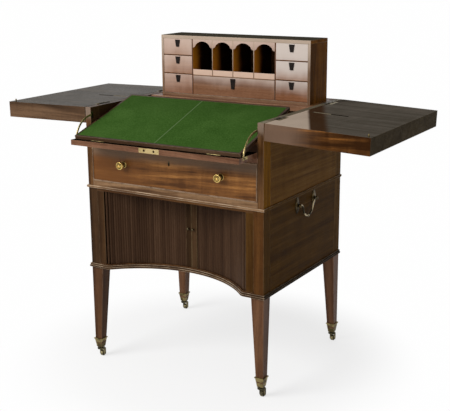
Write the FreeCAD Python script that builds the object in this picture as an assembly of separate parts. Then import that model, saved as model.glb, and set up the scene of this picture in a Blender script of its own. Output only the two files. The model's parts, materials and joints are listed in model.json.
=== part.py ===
import FreeCAD, Part
import math
import os

# A mahogany captain's desk, standing open: two hinged top lids folded out to the sides, a rising
# nest of small drawers and pigeonholes, a drop front that carries a hinged writing slope, one long
# drawer and a concave-fronted tambour cupboard on four tapering legs with casters.
# Millimetres. X to the user's right, Y away from the user, Z up from the floor.
# Sizes are laid out about the middle of the carcass, and export() then moves every piece so that
# the origin is at the bottom centre of the open desk's bounding box.

# ---- clearances ----
SLIDE_GAP = 0.4          # between a sliding piece and its runner or guide
FIT_GAP = 0.5            # round a drawer front in its opening
LID_SEAT = 0.3           # a closed lid above the carcass top
SWING_GAP = 1.0          # at each end of the drop front
PIN_CLEAR = 0.3          # a loose pin in its eye
AXLE_CLEAR = 0.05        # a wheel on its axle

# ---- carcass ----
WIDTH = 635.0
DEPTH = 527.8
BASE_Z = 318.0           # underside of the cupboard
CUPBOARD_HEIGHT = 269.0  # lower carcass
UPPER_HEIGHT = 252.0     # upper carcass, which stands on the lower
SIDE_THICK = 20.0
BACK_THICK = 12.0
POST_DEPTH = 42.0        # corner posts, front to back
LOWER_POST_WIDTH = 34.0
UPPER_POST_WIDTH = 20.5
BASE_BOARD_THICK = 16.0
DUST_BOARD_THICK = 12.0
RAIL_DEPTH = 50.0
LOWER_RAIL_HEIGHT = 21.0
DRAWER_OPENING_HEIGHT = 114.0
UPPER_RAIL_HEIGHT = 15.0

# ---- legs, caps and casters ----
LEG_SQUARE = 42.0
ANKLE_SQUARE = 25.0
LEG_END_Z = 50.0         # the wood ends inside the cap
CAP_TOP_Z = 68.0
CAP_BOTTOM_Z = 36.0
CAP_TOP_SQUARE = 29.2
CAP_BOTTOM_SQUARE = 20.0
CAP_RIM_HEIGHT = 3.2
CAP_RIM_PROJECTION = 1.5
WHEEL_RADIUS = 9.5
WHEEL_WIDTH = 12.0
WHEEL_TRAIL = 8.0        # wheel axle behind the swivel
FORK_NECK_RADIUS = 6.5
FORK_NECK_LENGTH = 4.0
FORK_DISC_RADIUS = 12.5
FORK_DISC_THICK = 4.0
FORK_CHEEK_THICK = 2.5
FORK_CHEEK_HALF_DEPTH = 5.5
AXLE_RADIUS = 1.8

# ---- mouldings ----
BASE_MOULD_LOWER_PROJECTION = 5.5
BASE_MOULD_UPPER_PROJECTION = 3.8
BASE_MOULD_LOWER_HEIGHT = 6.6
BASE_MOULD_UPPER_HEIGHT = 6.0
WAIST_MOULD_PROJECTION = 4.5
WAIST_MOULD_HEIGHT = 8.0

# ---- concave cupboard front and its tambours ----
FRONT_BOW_DEPTH = 105.0   # middle of the front behind its ends
FRONT_NOSE_RADIUS = 18.0
PILASTER_WIDTH = 24.9    # stile between the tambour and the corner post
PILASTER_FLAT = 4.87     # flat front between the stile and the nose
STILE_INSET = 3.0        # meeting stiles behind the plan line of the front
TAMBOUR_INSET = 2.0      # slat faces behind the face of the stiles
SLAT_PITCH = 7.58
SLAT_GAP = 0.3
SLAT_BODY = 5.0
SLAT_CROWN = 2.2
CANVAS_THICK = 0.8
TRACK_DEPTH = 4.0
TRACK_END_GAP = 1.0
TRACK_OVERLAP = 0.5      # degrees by which the groove's bow runs into its nose
LEAD_STILE_WIDTH = 20.0
LEAD_STILE_THICK = 11.0
LEAD_STILE_GAP = 0.3     # each stile off the middle line
TAMBOUR_KNOB_DROP = 113.0    # below the dust board
TAMBOUR_KNOB_X = 9.0
TAMBOUR_KNOB_RADIUS = 4.0
TAMBOUR_KNOB_LENGTH = 11.0
TAMBOUR_KNOB_NECK = 2.0
TAMBOUR_KNOB_TENON = 1.0

# ---- well behind the drop front, and the shaft of the nest ----
WELL_FLOOR_DROP = 3.0    # below the rail in front of it
WELL_FLOOR_THICK = 10.0
WELL_WALL_THICK = 9.0
DECK_TOP_DROP = 1.0
DECK_THICK = 16.0
DECK_FRONT_DEPTH = 35.0
SHAFT_FRONT_GAP = 6.7    # nest front behind the shaft's front wall
SHAFT_BACK_GAP = 4.5

# ---- main drawer ----
MAIN_FRONT_THICK = 20.0
MAIN_BOX_WALL = 9.0
MAIN_BOX_BOTTOM = 6.0
MAIN_BOX_SIDE_GAP = 3.0
MAIN_BOX_BACK_GAP = 2.0
MAIN_BOX_TOP_DROP = 8.0
MAIN_BOX_LIFT = 4.0
RUNNER_WIDTH = 20.0
BEADING_WIDTH = 3.0
BEADING_PROJECTION = 2.0
KNOB_INSET = 121.5       # from each end of the drawer's opening
KNOB_RISE = 62.0         # above the rail under the drawer
KNOB_LENGTH = 26.0
KNOB_RADIUS = 12.8
KNOB_NECK_RADIUS = 5.0
KNOB_ROSE_RADIUS = 10.5
KNOB_ROSE_THICK = 1.5
KNOB_COVE = 4.5          # length and depth of the flares at each end of the neck
KNOB_HEAD_LENGTH = 9.5
KNOB_DOME_RADIUS = 6.5   # where the face of the knob turns over
KNOB_DOME_HEIGHT = 1.4
KEYHOLE_X = -6.5
KEYHOLE_DROP = 30.0      # below the rail over the drawer
KEYHOLE_RADIUS = 2.3
KEYHOLE_SLOT = 10.0
KEYHOLE_DEPTH = 12.0

# ---- lids ----
LID_THICK = 50.0
LID_HINGE_OFFSET = 1.2   # hinge axis outside the carcass side
LID_MIDDLE_GAP = 0.4     # half the gap between the closed lids
LID_DROOP_LEFT = 0.9     # degrees past level when open
LID_DROOP_RIGHT = 2.3
LID_SLOT_START = 28.0    # from the hinge axis
LID_SLOT_LENGTH = 115.0
LID_SLOT_WIDTH = 10.0
LID_SLOT_DEPTH = 9.0
LID_SLOT_Y = -13.0
LID_STAY_LENGTH = 56.0
LID_STAY_THICK = 6.0
LID_PIN_RADIUS = 2.4
LID_PIN_HEIGHT = 10.0
HINGE_LENGTH = 60.0
HINGE_LEAF_WIDTH = 13.0
HINGE_LEAF_THICK = 2.0
HINGE_KNUCKLE_RADIUS = 2.6
HINGE_INSET = 93.9       # middle of each lid hinge from the carcass's front or back

# ---- drop front, its lock plate and quadrant stays ----
FALL_PIVOT_GAP = 1.0     # open drop front above the rail that it rests over
FALL_THICK = 16.0
FALL_TOP_GAP = 0.4       # closed drop front below the carcass top
LOCK_LENGTH = 71.0
LOCK_HEIGHT = 14.0
LOCK_THICK = 2.2
LOCK_PROUD = 0.3
LOCK_HOLE_SPACING = 34.0
LOCK_HOLE_RADIUS = 3.6
LOCK_HOLE_DEPTH = 14.0
STAY_SETBACK = 23.1      # middle of the brass strap from the drop front's outer edge
STAY_STRAP = 6.0
STAY_THICK = 2.2
STAY_KEEPER_GAP = 0.3    # strap off the keeper that it slides past
STAY_START_ANGLE = 5.0   # degrees above the open drop front
STAY_FOOT_LENGTH = 26.0
FALL_BRACKET_LENGTH = 30.0
FALL_BRACKET_HEIGHT = 0.7
KEEPER_HEIGHT = 20.0
KEEPER_DEPTH = 12.0
KEEPER_THICK = 0.5

# ---- writing slope ----
SLOPE_HINGE_SETBACK = 16.0   # from the drop front's outer edge
SLOPE_HINGE_GAP = 0.5
SLOPE_TILT = 17.0            # degrees when raised
SLOPE_DECK_GAP = 1.4         # the folded slope's back edge off the deck
SLOPE_SIDE_GAP = 2.5         # off the quadrant stays
SLOPE_THICK = 11.0
BAIZE_MARGIN = 7.0
BAIZE_DEPTH = 0.8
SLOPE_HINGE_INSET = 86.5     # middle of each hinge from the slope's end
SLOPE_HINGE_LENGTH = 46.0
SLOPE_HINGE_RADIUS = 2.0
PROP_REACH = 190.0           # from the slope's hinge to the prop's
PROP_WIDTH = 150.0
PROP_THICK = 8.0

# ---- rising nest ----
NEST_DEPTH = 122.8
NEST_BACK_GAP = 25.4         # nest in front of the carcass's back panel
NEST_GUIDE_THICK = 18.1
NEST_HEIGHT = 204.8
NEST_BASE_DROP = 6.4         # raised nest's underside below the carcass top
NEST_SKIRT = 22.0            # sides run on below the base, in the guides
NEST_SIDE_THICK = 9.0
NEST_TOP_THICK = 11.0
NEST_BASE_THICK = 12.0
NEST_BACK_THICK = 5.0
NEST_FACE_SETBACK = 0.6
NEST_COLUMN_WIDTH = 114.5    # side drawers, from the nest's side to the middle of the upright
COLUMN_DIVIDER_THICK = 4.0
HOLE_DIVIDER_THICK = 3.0
PIGEONHOLES = 4
LOWER_BLADE_RISE = 77.9      # middle of the lower drawer blades above the nest's underside
UPPER_BLADE_RISE = 139.4
BLADE_THICK = 3.0
CENTRE_SHELF_RISE = 76.2
LIP_HEIGHT = 17.7
LIP_THICK = 3.0
ARCH_THICK = 4.0
ARCH_SPRING_DROP = 38.4      # below the nest's top
ARCH_CUSP_DROP = 29.4
ARCH_APEX_DROP = 17.4
ARCH_CUSP_INSET = 10.5

# ---- nest drawers ----
SMALL_FRONT_THICK = 8.0
SMALL_WALL = 5.0
SMALL_BOTTOM = 4.0
SMALL_BACK_GAP = 6.0
TAB_TOP_WIDTH = 19.0
TAB_BOTTOM_WIDTH = 11.0
TAB_HEIGHT = 23.5
TAB_CENTRE_HEIGHT = 34.0
TAB_THICK = 2.5
TAB_TOP_DROP = 3.0           # tab below the drawer's top edge

# ---- side handles ----
BAIL_CENTRE_Y = 5.0
BAIL_PIVOT_DROP = 32.0       # below the top of the lower carcass
BAIL_WIRE_RADIUS = 2.8
BAIL_BOW_RADIUS = 34.0
BAIL_NECK_RADIUS = 18.0
BAIL_BOW_LIFT = 10.0         # degrees that the bow stops short of level
BAIL_PIN_LENGTH = 8.0
BAIL_STANDOFF = 9.5          # pivot out from the carcass side
BACKPLATE_HALF_WIDTH = 14.0
BACKPLATE_HALF_HEIGHT = 26.0
BACKPLATE_THICK = 2.5
BAIL_BALL_RADIUS = 6.0
BAIL_POST_RADIUS = 4.2
BAIL_PIN_END_SETBACK = 2.0   # ball centre short of the pin's end

# ---- places worked out from the sizes above ----
HALF_W = WIDTH / 2
HALF_D = DEPTH / 2
WAIST_Z = BASE_Z + CUPBOARD_HEIGHT
TOP_Z = WAIST_Z + UPPER_HEIGHT
LOWER_RAIL_TOP = WAIST_Z + LOWER_RAIL_HEIGHT
UPPER_RAIL_BOTTOM = LOWER_RAIL_TOP + DRAWER_OPENING_HEIGHT
UPPER_RAIL_TOP = UPPER_RAIL_BOTTOM + UPPER_RAIL_HEIGHT
WELL_FLOOR_TOP = UPPER_RAIL_TOP - WELL_FLOOR_DROP
FALL_PIVOT_Z = UPPER_RAIL_TOP + FALL_PIVOT_GAP
INNER_X = HALF_W - SIDE_THICK
POST_INNER_LOWER = HALF_W - LOWER_POST_WIDTH
POST_INNER_UPPER = HALF_W - UPPER_POST_WIDTH
POST_BACK_Y = HALF_D - POST_DEPTH
BACK_INNER_Y = HALF_D - BACK_THICK
BASE_TOP = BASE_Z + BASE_BOARD_THICK
DUST_BOTTOM = WAIST_Z - DUST_BOARD_THICK
FOOT_X = HALF_W - ANKLE_SQUARE / 2
FOOT_Y = HALF_D - ANKLE_SQUARE / 2
NEST_BACK_Y = BACK_INNER_Y - NEST_BACK_GAP
NEST_FRONT_Y = NEST_BACK_Y - NEST_DEPTH
SHAFT_FRONT_Y = NEST_FRONT_Y - SHAFT_FRONT_GAP
SHAFT_BACK_Y = NEST_BACK_Y + SHAFT_BACK_GAP
DECK_TOP = TOP_Z - DECK_TOP_DROP
DECK_BOTTOM = DECK_TOP - DECK_THICK
DECK_FRONT_Y = SHAFT_FRONT_Y - DECK_FRONT_DEPTH
FALL_HALF_WIDTH = POST_INNER_UPPER - SWING_GAP
FALL_HEIGHT = TOP_Z - FALL_TOP_GAP - FALL_PIVOT_Z
FALL_EDGE_Y = -HALF_D - FALL_HEIGHT
FALL_TOP_Z = FALL_PIVOT_Z + FALL_THICK
STAY_RADIUS = FALL_HEIGHT - STAY_SETBACK
SLOPE_HINGE_Y = FALL_EDGE_Y + SLOPE_HINGE_SETBACK
SLOPE_LENGTH = DECK_FRONT_Y - SLOPE_DECK_GAP - SLOPE_HINGE_GAP - FALL_THICK + HALF_D
LID_AXIS_X = HALF_W + LID_HINGE_OFFSET
LID_AXIS_Z = TOP_Z + LID_SEAT / 2
LID_REACH = LID_AXIS_X - LID_MIDDLE_GAP
LID_PIN_Y = -HALF_D + FALL_THICK / 2
STAY_OUTER_X = POST_INNER_UPPER - KEEPER_THICK - STAY_KEEPER_GAP
STAY_INNER_X = STAY_OUTER_X - STAY_THICK
SLOPE_HALF_WIDTH = STAY_INNER_X - SLOPE_SIDE_GAP
SLOPE_HINGE_X = SLOPE_HALF_WIDTH - SLOPE_HINGE_INSET
NEST_HALF_WIDTH = INNER_X - NEST_GUIDE_THICK - SLIDE_GAP
NEST_INNER_X = NEST_HALF_WIDTH - NEST_SIDE_THICK
COLUMN_DIVIDER_X = NEST_INNER_X - NEST_COLUMN_WIDTH
NEST_BASE_BOTTOM = TOP_Z - NEST_BASE_DROP
NEST_TOP_Z = NEST_BASE_BOTTOM + NEST_HEIGHT
LOWER_BLADE_Z = NEST_BASE_BOTTOM + LOWER_BLADE_RISE
UPPER_BLADE_Z = NEST_BASE_BOTTOM + UPPER_BLADE_RISE
CENTRE_SHELF_Z = NEST_BASE_BOTTOM + CENTRE_SHELF_RISE
LIP_TOP_Z = CENTRE_SHELF_Z + BLADE_THICK / 2 + LIP_HEIGHT
ARCH_SPRING_Z = NEST_TOP_Z - ARCH_SPRING_DROP
ARCH_CUSP_Z = NEST_TOP_Z - ARCH_CUSP_DROP
ARCH_APEX_Z = NEST_TOP_Z - ARCH_APEX_DROP
NEST_FACE_Y = NEST_FRONT_Y + NEST_FACE_SETBACK
NEST_TOP_UNDER = NEST_TOP_Z - NEST_TOP_THICK
NEST_FLOOR_Z = NEST_BASE_BOTTOM + NEST_BASE_THICK
NEST_BACK_INNER = NEST_BACK_Y - NEST_BACK_THICK
PROP_DROP = PROP_THICK / 2 + PIN_CLEAR
PILASTER_INNER_X = POST_INNER_LOWER - PILASTER_WIDTH
NOSE_X = PILASTER_INNER_X - PILASTER_FLAT
FRONT_ARC_RADIUS = (NOSE_X ** 2 / FRONT_BOW_DEPTH + FRONT_BOW_DEPTH) / 2 - FRONT_NOSE_RADIUS
FRONT_ARC_CENTRE_Y = -HALF_D + FRONT_BOW_DEPTH - FRONT_ARC_RADIUS
STILE_FACE_RADIUS = FRONT_ARC_RADIUS + STILE_INSET
SLAT_FACE_RADIUS = STILE_FACE_RADIUS + TAMBOUR_INSET
SLAT_BACK_RADIUS = SLAT_FACE_RADIUS + SLAT_BODY + SLAT_CROWN
TAMBOUR_KNOB_Z = DUST_BOTTOM - TAMBOUR_KNOB_DROP
BAIL_PIVOT_Z = WAIST_Z - BAIL_PIVOT_DROP
KNOB_X = POST_INNER_UPPER - KNOB_INSET
KNOB_Z = LOWER_RAIL_TOP + KNOB_RISE
KEYHOLE_Z = UPPER_RAIL_BOTTOM - KEYHOLE_DROP
HINGE_Y = HALF_D - HINGE_INSET
LOCK_X = KEYHOLE_X
LOCK_HOLES_X = [LOCK_X - LOCK_HOLE_SPACING / 2, LOCK_X + LOCK_HOLE_SPACING / 2]
ORIGIN_Y = (FALL_EDGE_Y - LOCK_PROUD + FOOT_Y + WHEEL_TRAIL + WHEEL_RADIUS) / 2

V = FreeCAD.Vector
X_AXIS = V(1, 0, 0)
Y_AXIS = V(0, 1, 0)
Z_AXIS = V(0, 0, 1)


# ---- helpers ----
def export(name, *solids):
    """Writes one node, moved to the desk's own origin."""
    shape = solids[0] if len(solids) == 1 else Part.makeCompound(list(solids))
    placed = shape.copy()
    placed.translate(V(0, -ORIGIN_Y, 0))
    placed.exportStep("parts/" + name + ".step")
    print(name, len(placed.Solids), "solid(s)", round(placed.Volume / 1000, 1), "cm3")


def slab(xs, ys, zs):
    """A box between pairs of coordinates, given in either order."""
    (x0, x1), (y0, y1), (z0, z1) = sorted(xs), sorted(ys), sorted(zs)
    return Part.makeBox(x1 - x0, y1 - y0, z1 - z0, V(x0, y0, z0))


def mirrored(shape):
    """The same piece on the other side of the desk's middle."""
    return shape.mirror(V(0, 0, 0), X_AXIS)


def pair(shape):
    return [shape, mirrored(shape)]


def turned(shape, centre, axis, degrees):
    copy = shape.copy()
    copy.rotate(centre, axis, degrees)
    return copy


def rod(start, direction, length, radius):
    return Part.makeCylinder(radius, length, start, direction)


def lathe(profile, start, direction):
    """A turned piece: profile is (radius, height) pairs, from start along direction."""
    points = [V(r, 0, h) for r, h in profile]
    face = Part.Face(Part.makePolygon(points + [points[0]]))
    solid = face.revolve(V(0, 0, 0), Z_AXIS, 360)
    solid.Placement = FreeCAD.Placement(start, FreeCAD.Rotation(Z_AXIS, direction))
    return solid


def prism(edges, z0, z1):
    """Extrudes a closed chain of edges, drawn at height 0, between two heights."""
    face = Part.Face(Part.Wire(Part.__sortEdges__(edges)))
    solid = face.extrude(V(0, 0, z1 - z0))
    solid.translate(V(0, 0, z0))
    return solid


def ring_sector(centre, radii, angles, zs):
    """A bent bar: part of a ring between two radii, angles in degrees from +X towards +Y."""
    (r0, r1), (a0, a1), (z0, z1) = sorted(radii), sorted(angles), sorted(zs)
    place = V(centre[0], centre[1], z0)
    outer = Part.makeCylinder(r1, z1 - z0, place, Z_AXIS, a1 - a0)
    inner = Part.makeCylinder(r0, z1 - z0, place, Z_AXIS, a1 - a0)
    return turned(outer.cut(inner), place, Z_AXIS, a0)


def merged(*shapes):
    result = shapes[0]
    for shape in shapes[1:]:
        result = result.fuse(shape)
    return result.removeSplitter()


# ---- plan of the concave front ----
def nose_centre():
    """Centre of the right-hand nose, tangent to the flat front and to the concave arc."""
    return NOSE_X, -HALF_D + FRONT_NOSE_RADIUS


def nose_angle():
    """Bearing of the nose from the arc's centre, in degrees from +X."""
    x, y = nose_centre()
    return math.degrees(math.atan2(y - FRONT_ARC_CENTRE_Y, x))


def on_circle(centre, radius, degrees):
    a = math.radians(degrees)
    return V(centre[0] + radius * math.cos(a), centre[1] + radius * math.sin(a), 0)


def arc_edge(centre, radius, start, end):
    middle = on_circle(centre, radius, (start + end) / 2)
    ends = on_circle(centre, radius, start), on_circle(centre, radius, end)
    return Part.Arc(ends[0], middle, ends[1]).toShape()


def front_line(x_end, offset):
    """Edges of the front's plan from -x_end to x_end, standing out by offset, and its end points."""
    nx, ny = nose_centre()
    bearing = nose_angle()
    nose = FRONT_NOSE_RADIUS + offset
    bow = FRONT_ARC_RADIUS - offset
    y = -HALF_D - offset
    right = arc_edge((nx, ny), nose, bearing - 180, -90)
    left = arc_edge((-nx, ny), nose, -bearing, -90)
    middle = arc_edge((0, FRONT_ARC_CENTRE_Y), bow, bearing, 180 - bearing)
    ends = [V(-x_end, y, 0), V(x_end, y, 0)]
    flats = [
        Part.makeLine(ends[0], V(-nx, y, 0)),
        Part.makeLine(V(nx, y, 0), ends[1]),
    ]
    return [flats[0], left, middle, right, flats[1]], ends


def closed_by(edges, points):
    """Adds straight edges through points, which run from one end of edges to the other."""
    return edges + [Part.makeLine(a, b) for a, b in zip(points, points[1:])]


# ---- legs, caps, casters ----
def corner_square(sx, sy, side, z):
    """A square outline whose outer corner is the carcass corner."""
    x0, y0 = sx * HALF_W, sy * HALF_D
    x1, y1 = sx * (HALF_W - side), sy * (HALF_D - side)
    return Part.makePolygon([V(x0, y0, z), V(x1, y0, z), V(x1, y1, z), V(x0, y1, z), V(x0, y0, z)])


def leg(sx, sy):
    foot = Part.makeLoft(
        [corner_square(sx, sy, ANKLE_SQUARE, LEG_END_Z), corner_square(sx, sy, LEG_SQUARE, BASE_Z)],
        True,
        True,
    )
    depth = (sy * HALF_D, sy * POST_BACK_Y)
    lower = slab((sx * HALF_W, sx * POST_INNER_LOWER), depth, (BASE_Z, WAIST_Z))
    upper = slab((sx * HALF_W, sx * POST_INNER_UPPER), depth, (WAIST_Z, TOP_Z))
    return merged(foot, lower, upper)


def centred_square(sx, sy, side, z):
    x, y, h = sx * FOOT_X, sy * FOOT_Y, side / 2
    corners = [(-h, -h), (h, -h), (h, h), (-h, h), (-h, -h)]
    return Part.makePolygon([V(x + a, y + b, z) for a, b in corners])


def leg_cap(sx, sy):
    """A cast cup under the foot, with a rim round its mouth."""
    cup = Part.makeLoft(
        [
            centred_square(sx, sy, CAP_BOTTOM_SQUARE, CAP_BOTTOM_Z),
            centred_square(sx, sy, CAP_TOP_SQUARE, CAP_TOP_Z),
        ],
        True,
        True,
    )
    h = CAP_TOP_SQUARE / 2 + CAP_RIM_PROJECTION
    x, y = sx * FOOT_X, sy * FOOT_Y
    rim = slab((x - h, x + h), (y - h, y + h), (CAP_TOP_Z - CAP_RIM_HEIGHT, CAP_TOP_Z))
    return merged(cup, rim).cut(leg(sx, sy))


def caster(sx, sy):
    """The swivelling fork and the wheel in it, at rest with the wheel behind."""
    x, y = sx * FOOT_X, sy * FOOT_Y
    neck_top = CAP_BOTTOM_Z - PIN_CLEAR
    disc_top = neck_top - FORK_NECK_LENGTH
    neck = rod(V(x, y, disc_top), Z_AXIS, FORK_NECK_LENGTH, FORK_NECK_RADIUS)
    disc = rod(V(x, y, disc_top - FORK_DISC_THICK), Z_AXIS, FORK_DISC_THICK, FORK_DISC_RADIUS)
    inner = WHEEL_WIDTH / 2 + PIN_CLEAR
    outer = inner + FORK_CHEEK_THICK
    axle_y = y + WHEEL_TRAIL
    cheek_zs = (WHEEL_RADIUS, disc_top - FORK_DISC_THICK)
    cheek_ys = (axle_y - FORK_CHEEK_HALF_DEPTH, axle_y + FORK_CHEEK_HALF_DEPTH)
    pieces = [neck, disc]
    for side in (-1, 1):
        pieces.append(slab((x + side * inner, x + side * outer), cheek_ys, cheek_zs))
        start = V(x + min(side * inner, side * outer), axle_y, WHEEL_RADIUS)
        pieces.append(rod(start, X_AXIS, FORK_CHEEK_THICK, FORK_CHEEK_HALF_DEPTH))
    pieces.append(rod(V(x - outer, axle_y, WHEEL_RADIUS), X_AXIS, 2 * outer, AXLE_RADIUS))
    hub = V(x - WHEEL_WIDTH / 2, axle_y, WHEEL_RADIUS)
    wheel = rod(hub, X_AXIS, WHEEL_WIDTH, WHEEL_RADIUS)
    bore = rod(hub, X_AXIS, WHEEL_WIDTH, AXLE_RADIUS + AXLE_CLEAR)
    return merged(*pieces), wheel.cut(bore)


def make_legs():
    corners = {"front": -1, "back": 1}
    for end, sy in corners.items():
        export("legs_" + end, leg(-1, sy), leg(1, sy))
        for side, sx in {"left": -1, "right": 1}.items():
            fork, wheel = caster(sx, sy)
            export("caster_fork_" + end + "_" + side, fork)
            export("caster_wheel_" + end + "_" + side, wheel)
    export("leg_caps", *[leg_cap(sx, sy) for sx in (-1, 1) for sy in (-1, 1)])


# ---- boards of the carcass ----
def make_sides():
    side = slab((INNER_X, HALF_W), (-POST_BACK_Y, POST_BACK_Y), (BASE_Z, TOP_Z))
    for sy in (-1, 1):
        side = side.cut(hinge_knuckle(1, sy, PIN_CLEAR))
        side = side.cut(carcass_leaf(1, sy))
    export("side_right", side)
    export("side_left", mirrored(side))
    lower = slab((-POST_INNER_LOWER, POST_INNER_LOWER), (BACK_INNER_Y, HALF_D), (BASE_Z, WAIST_Z))
    upper = slab((-POST_INNER_UPPER, POST_INNER_UPPER), (BACK_INNER_Y, HALF_D), (WAIST_Z, TOP_Z))
    export("back_panel", merged(lower, upper))


def tambour_track(z0, z1):
    """The run of the right-hand tambour: bow, nose, turn behind the pilaster and back along the side."""
    near = STILE_FACE_RADIUS - SLIDE_GAP
    far = STILE_FACE_RADIUS + LEAD_STILE_THICK + SLIDE_GAP
    nx, ny = nose_centre()
    bearing = nose_angle()
    reach = FRONT_ARC_RADIUS + FRONT_NOSE_RADIUS
    bow = ring_sector((0, FRONT_ARC_CENTRE_Y), (near, far), (bearing - TRACK_OVERLAP, 90), (z0, z1))
    nose = ring_sector((nx, ny), (reach - far, reach - near), (bearing - 180, -90), (z0, z1))
    width = far - near
    turn_radius = PILASTER_INNER_X - nx + width
    front = ny - reach + near
    turn = ring_sector((nx, front + turn_radius), (turn_radius - width, turn_radius), (-90, 0), (z0, z1))
    run = slab((nx + turn_radius - width, nx + turn_radius), (front + turn_radius, POST_BACK_Y), (z0, z1))
    return merged(bow, nose, turn, run)


def cut_both(shape, tool):
    return shape.cut(tool).cut(mirrored(tool))


def make_boards():
    """The cupboard's floor, the dust board over it, and the stiles beside the tambours."""
    front, ends = front_line(POST_INNER_LOWER, 0)
    back = [
        V(POST_INNER_LOWER, -POST_BACK_Y, 0),
        V(INNER_X, -POST_BACK_Y, 0),
        V(INNER_X, POST_BACK_Y, 0),
        V(POST_INNER_LOWER, POST_BACK_Y, 0),
        V(POST_INNER_LOWER, BACK_INNER_Y, 0),
    ]
    rim = back + [V(-p.x, p.y, 0) for p in reversed(back)]
    base = prism(closed_by(front, [ends[1]] + rim + [ends[0]]), BASE_Z, BASE_TOP)
    export("base_board", cut_both(base, tambour_track(BASE_TOP - TRACK_DEPTH, BASE_TOP)))
    corners = [V(POST_INNER_LOWER, -HALF_D, 0)] + rim + [V(-POST_INNER_LOWER, -HALF_D, 0)]
    dust = prism(closed_by([], corners + [corners[0]]), DUST_BOTTOM, WAIST_Z)
    export("dust_board", cut_both(dust, tambour_track(DUST_BOTTOM, DUST_BOTTOM + TRACK_DEPTH)))
    stile = slab((PILASTER_INNER_X, POST_INNER_LOWER), (-HALF_D, -POST_BACK_Y), (BASE_TOP, DUST_BOTTOM))
    export("front_stiles", *pair(stile.cut(tambour_track(BASE_TOP, DUST_BOTTOM))))


def make_rails():
    inner = (-POST_INNER_UPPER, POST_INNER_UPPER)
    depth = (-HALF_D, -HALF_D + RAIL_DEPTH)
    lower = slab(inner, depth, (WAIST_Z, LOWER_RAIL_TOP))
    upper = slab(inner, depth, (UPPER_RAIL_BOTTOM, UPPER_RAIL_TOP))
    export("drawer_rails", lower, upper)
    top = LOWER_RAIL_TOP + MAIN_BOX_LIFT - SLIDE_GAP
    run = (-HALF_D + RAIL_DEPTH, SHAFT_FRONT_Y - WELL_WALL_THICK)
    runner = slab((INNER_X - RUNNER_WIDTH, INNER_X), run, (WAIST_Z, top))
    export("drawer_runners", *pair(runner))


def make_well():
    """The compartment under the writing slope, and the shaft that the nest sinks into."""
    inner = (-INNER_X, INNER_X)
    wall_front = SHAFT_FRONT_Y - WELL_WALL_THICK
    floor_zs = (WELL_FLOOR_TOP - WELL_FLOOR_THICK, WELL_FLOOR_TOP)
    export("well_floor", slab(inner, (-HALF_D + RAIL_DEPTH, wall_front), floor_zs))
    export("well_wall", slab(inner, (wall_front, SHAFT_FRONT_Y), (WAIST_Z, DECK_BOTTOM)))
    deck = (DECK_BOTTOM, DECK_TOP)
    front_rail = slab(inner, (DECK_FRONT_Y, SHAFT_FRONT_Y), deck)
    back_rail = cut_both(slab(inner, (SHAFT_BACK_Y, BACK_INNER_Y), deck), leg(1, 1))
    export("deck_rails", front_rail, back_rail)
    guide = slab(
        (INNER_X - NEST_GUIDE_THICK, INNER_X), (SHAFT_FRONT_Y, SHAFT_BACK_Y), (WAIST_Z, DECK_TOP)
    )
    export("nest_guides", *pair(guide.cut(leg(1, 1))))


# ---- mouldings ----
def base_moulding_layer(projection, z0, z1):
    """A strip round the front and sides that follows the concave plan."""
    outer, outer_ends = front_line(HALF_W + projection, projection)
    inner, inner_ends = front_line(HALF_W, 0)
    right = [outer_ends[1], V(HALF_W + projection, HALF_D, 0), V(HALF_W, HALF_D, 0), inner_ends[1]]
    left = [V(-p.x, p.y, 0) for p in right]
    return prism(closed_by(closed_by(outer + inner, right), left), z0, z1)


def make_mouldings():
    middle = BASE_Z + BASE_MOULD_LOWER_HEIGHT
    lower = base_moulding_layer(BASE_MOULD_LOWER_PROJECTION, BASE_Z, middle)
    upper = base_moulding_layer(BASE_MOULD_UPPER_PROJECTION, middle, middle + BASE_MOULD_UPPER_HEIGHT)
    export("base_moulding", merged(lower, upper))
    p = WAIST_MOULD_PROJECTION
    zs = (WAIST_Z - WAIST_MOULD_HEIGHT / 2, WAIST_Z + WAIST_MOULD_HEIGHT / 2)
    whole = slab((-HALF_W - p, HALF_W + p), (-HALF_D - p, HALF_D), zs)
    export("waist_moulding", whole.cut(slab((-HALF_W, HALF_W), (-HALF_D, HALF_D), zs)))


# ---- tambours ----
def slat(z0, z1):
    """One slat, its back on the Y axis's zero and its crowned face towards -Y."""
    h = (SLAT_PITCH - SLAT_GAP) / 2
    crown = Part.Arc(V(-h, -SLAT_BODY, 0), V(0, -SLAT_BODY - SLAT_CROWN, 0), V(h, -SLAT_BODY, 0))
    sides = [V(h, -SLAT_BODY, 0), V(h, 0, 0), V(-h, 0, 0), V(-h, -SLAT_BODY, 0)]
    return prism(closed_by([crown.toShape()], sides), z0, z1)


def track_point(distance):
    """Place and heading of the slats' backs, at a distance along the bow from the middle line."""
    back = SLAT_BACK_RADIUS
    nx, ny = nose_centre()
    bow_angle = 90 - nose_angle()
    bow_length = math.radians(bow_angle) * back
    nose_back = FRONT_ARC_RADIUS + FRONT_NOSE_RADIUS - back
    nose_length = math.radians(bow_angle) * nose_back
    if distance <= bow_length:
        a = distance / back
        return back * math.sin(a), FRONT_ARC_CENTRE_Y + back * math.cos(a), -math.degrees(a)
    if distance <= bow_length + nose_length:
        a = math.radians(bow_angle) - (distance - bow_length) / nose_back
        return nx - nose_back * math.sin(a), ny - nose_back * math.cos(a), -math.degrees(a)
    return nx + distance - bow_length - nose_length, ny - nose_back, 0


def stile_angles():
    """Bearings of the right-hand meeting stile's outer and inner edges, from the arc's centre."""
    inner = 90 - math.degrees(LEAD_STILE_GAP / STILE_FACE_RADIUS)
    return inner - math.degrees(LEAD_STILE_WIDTH / STILE_FACE_RADIUS), inner


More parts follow.
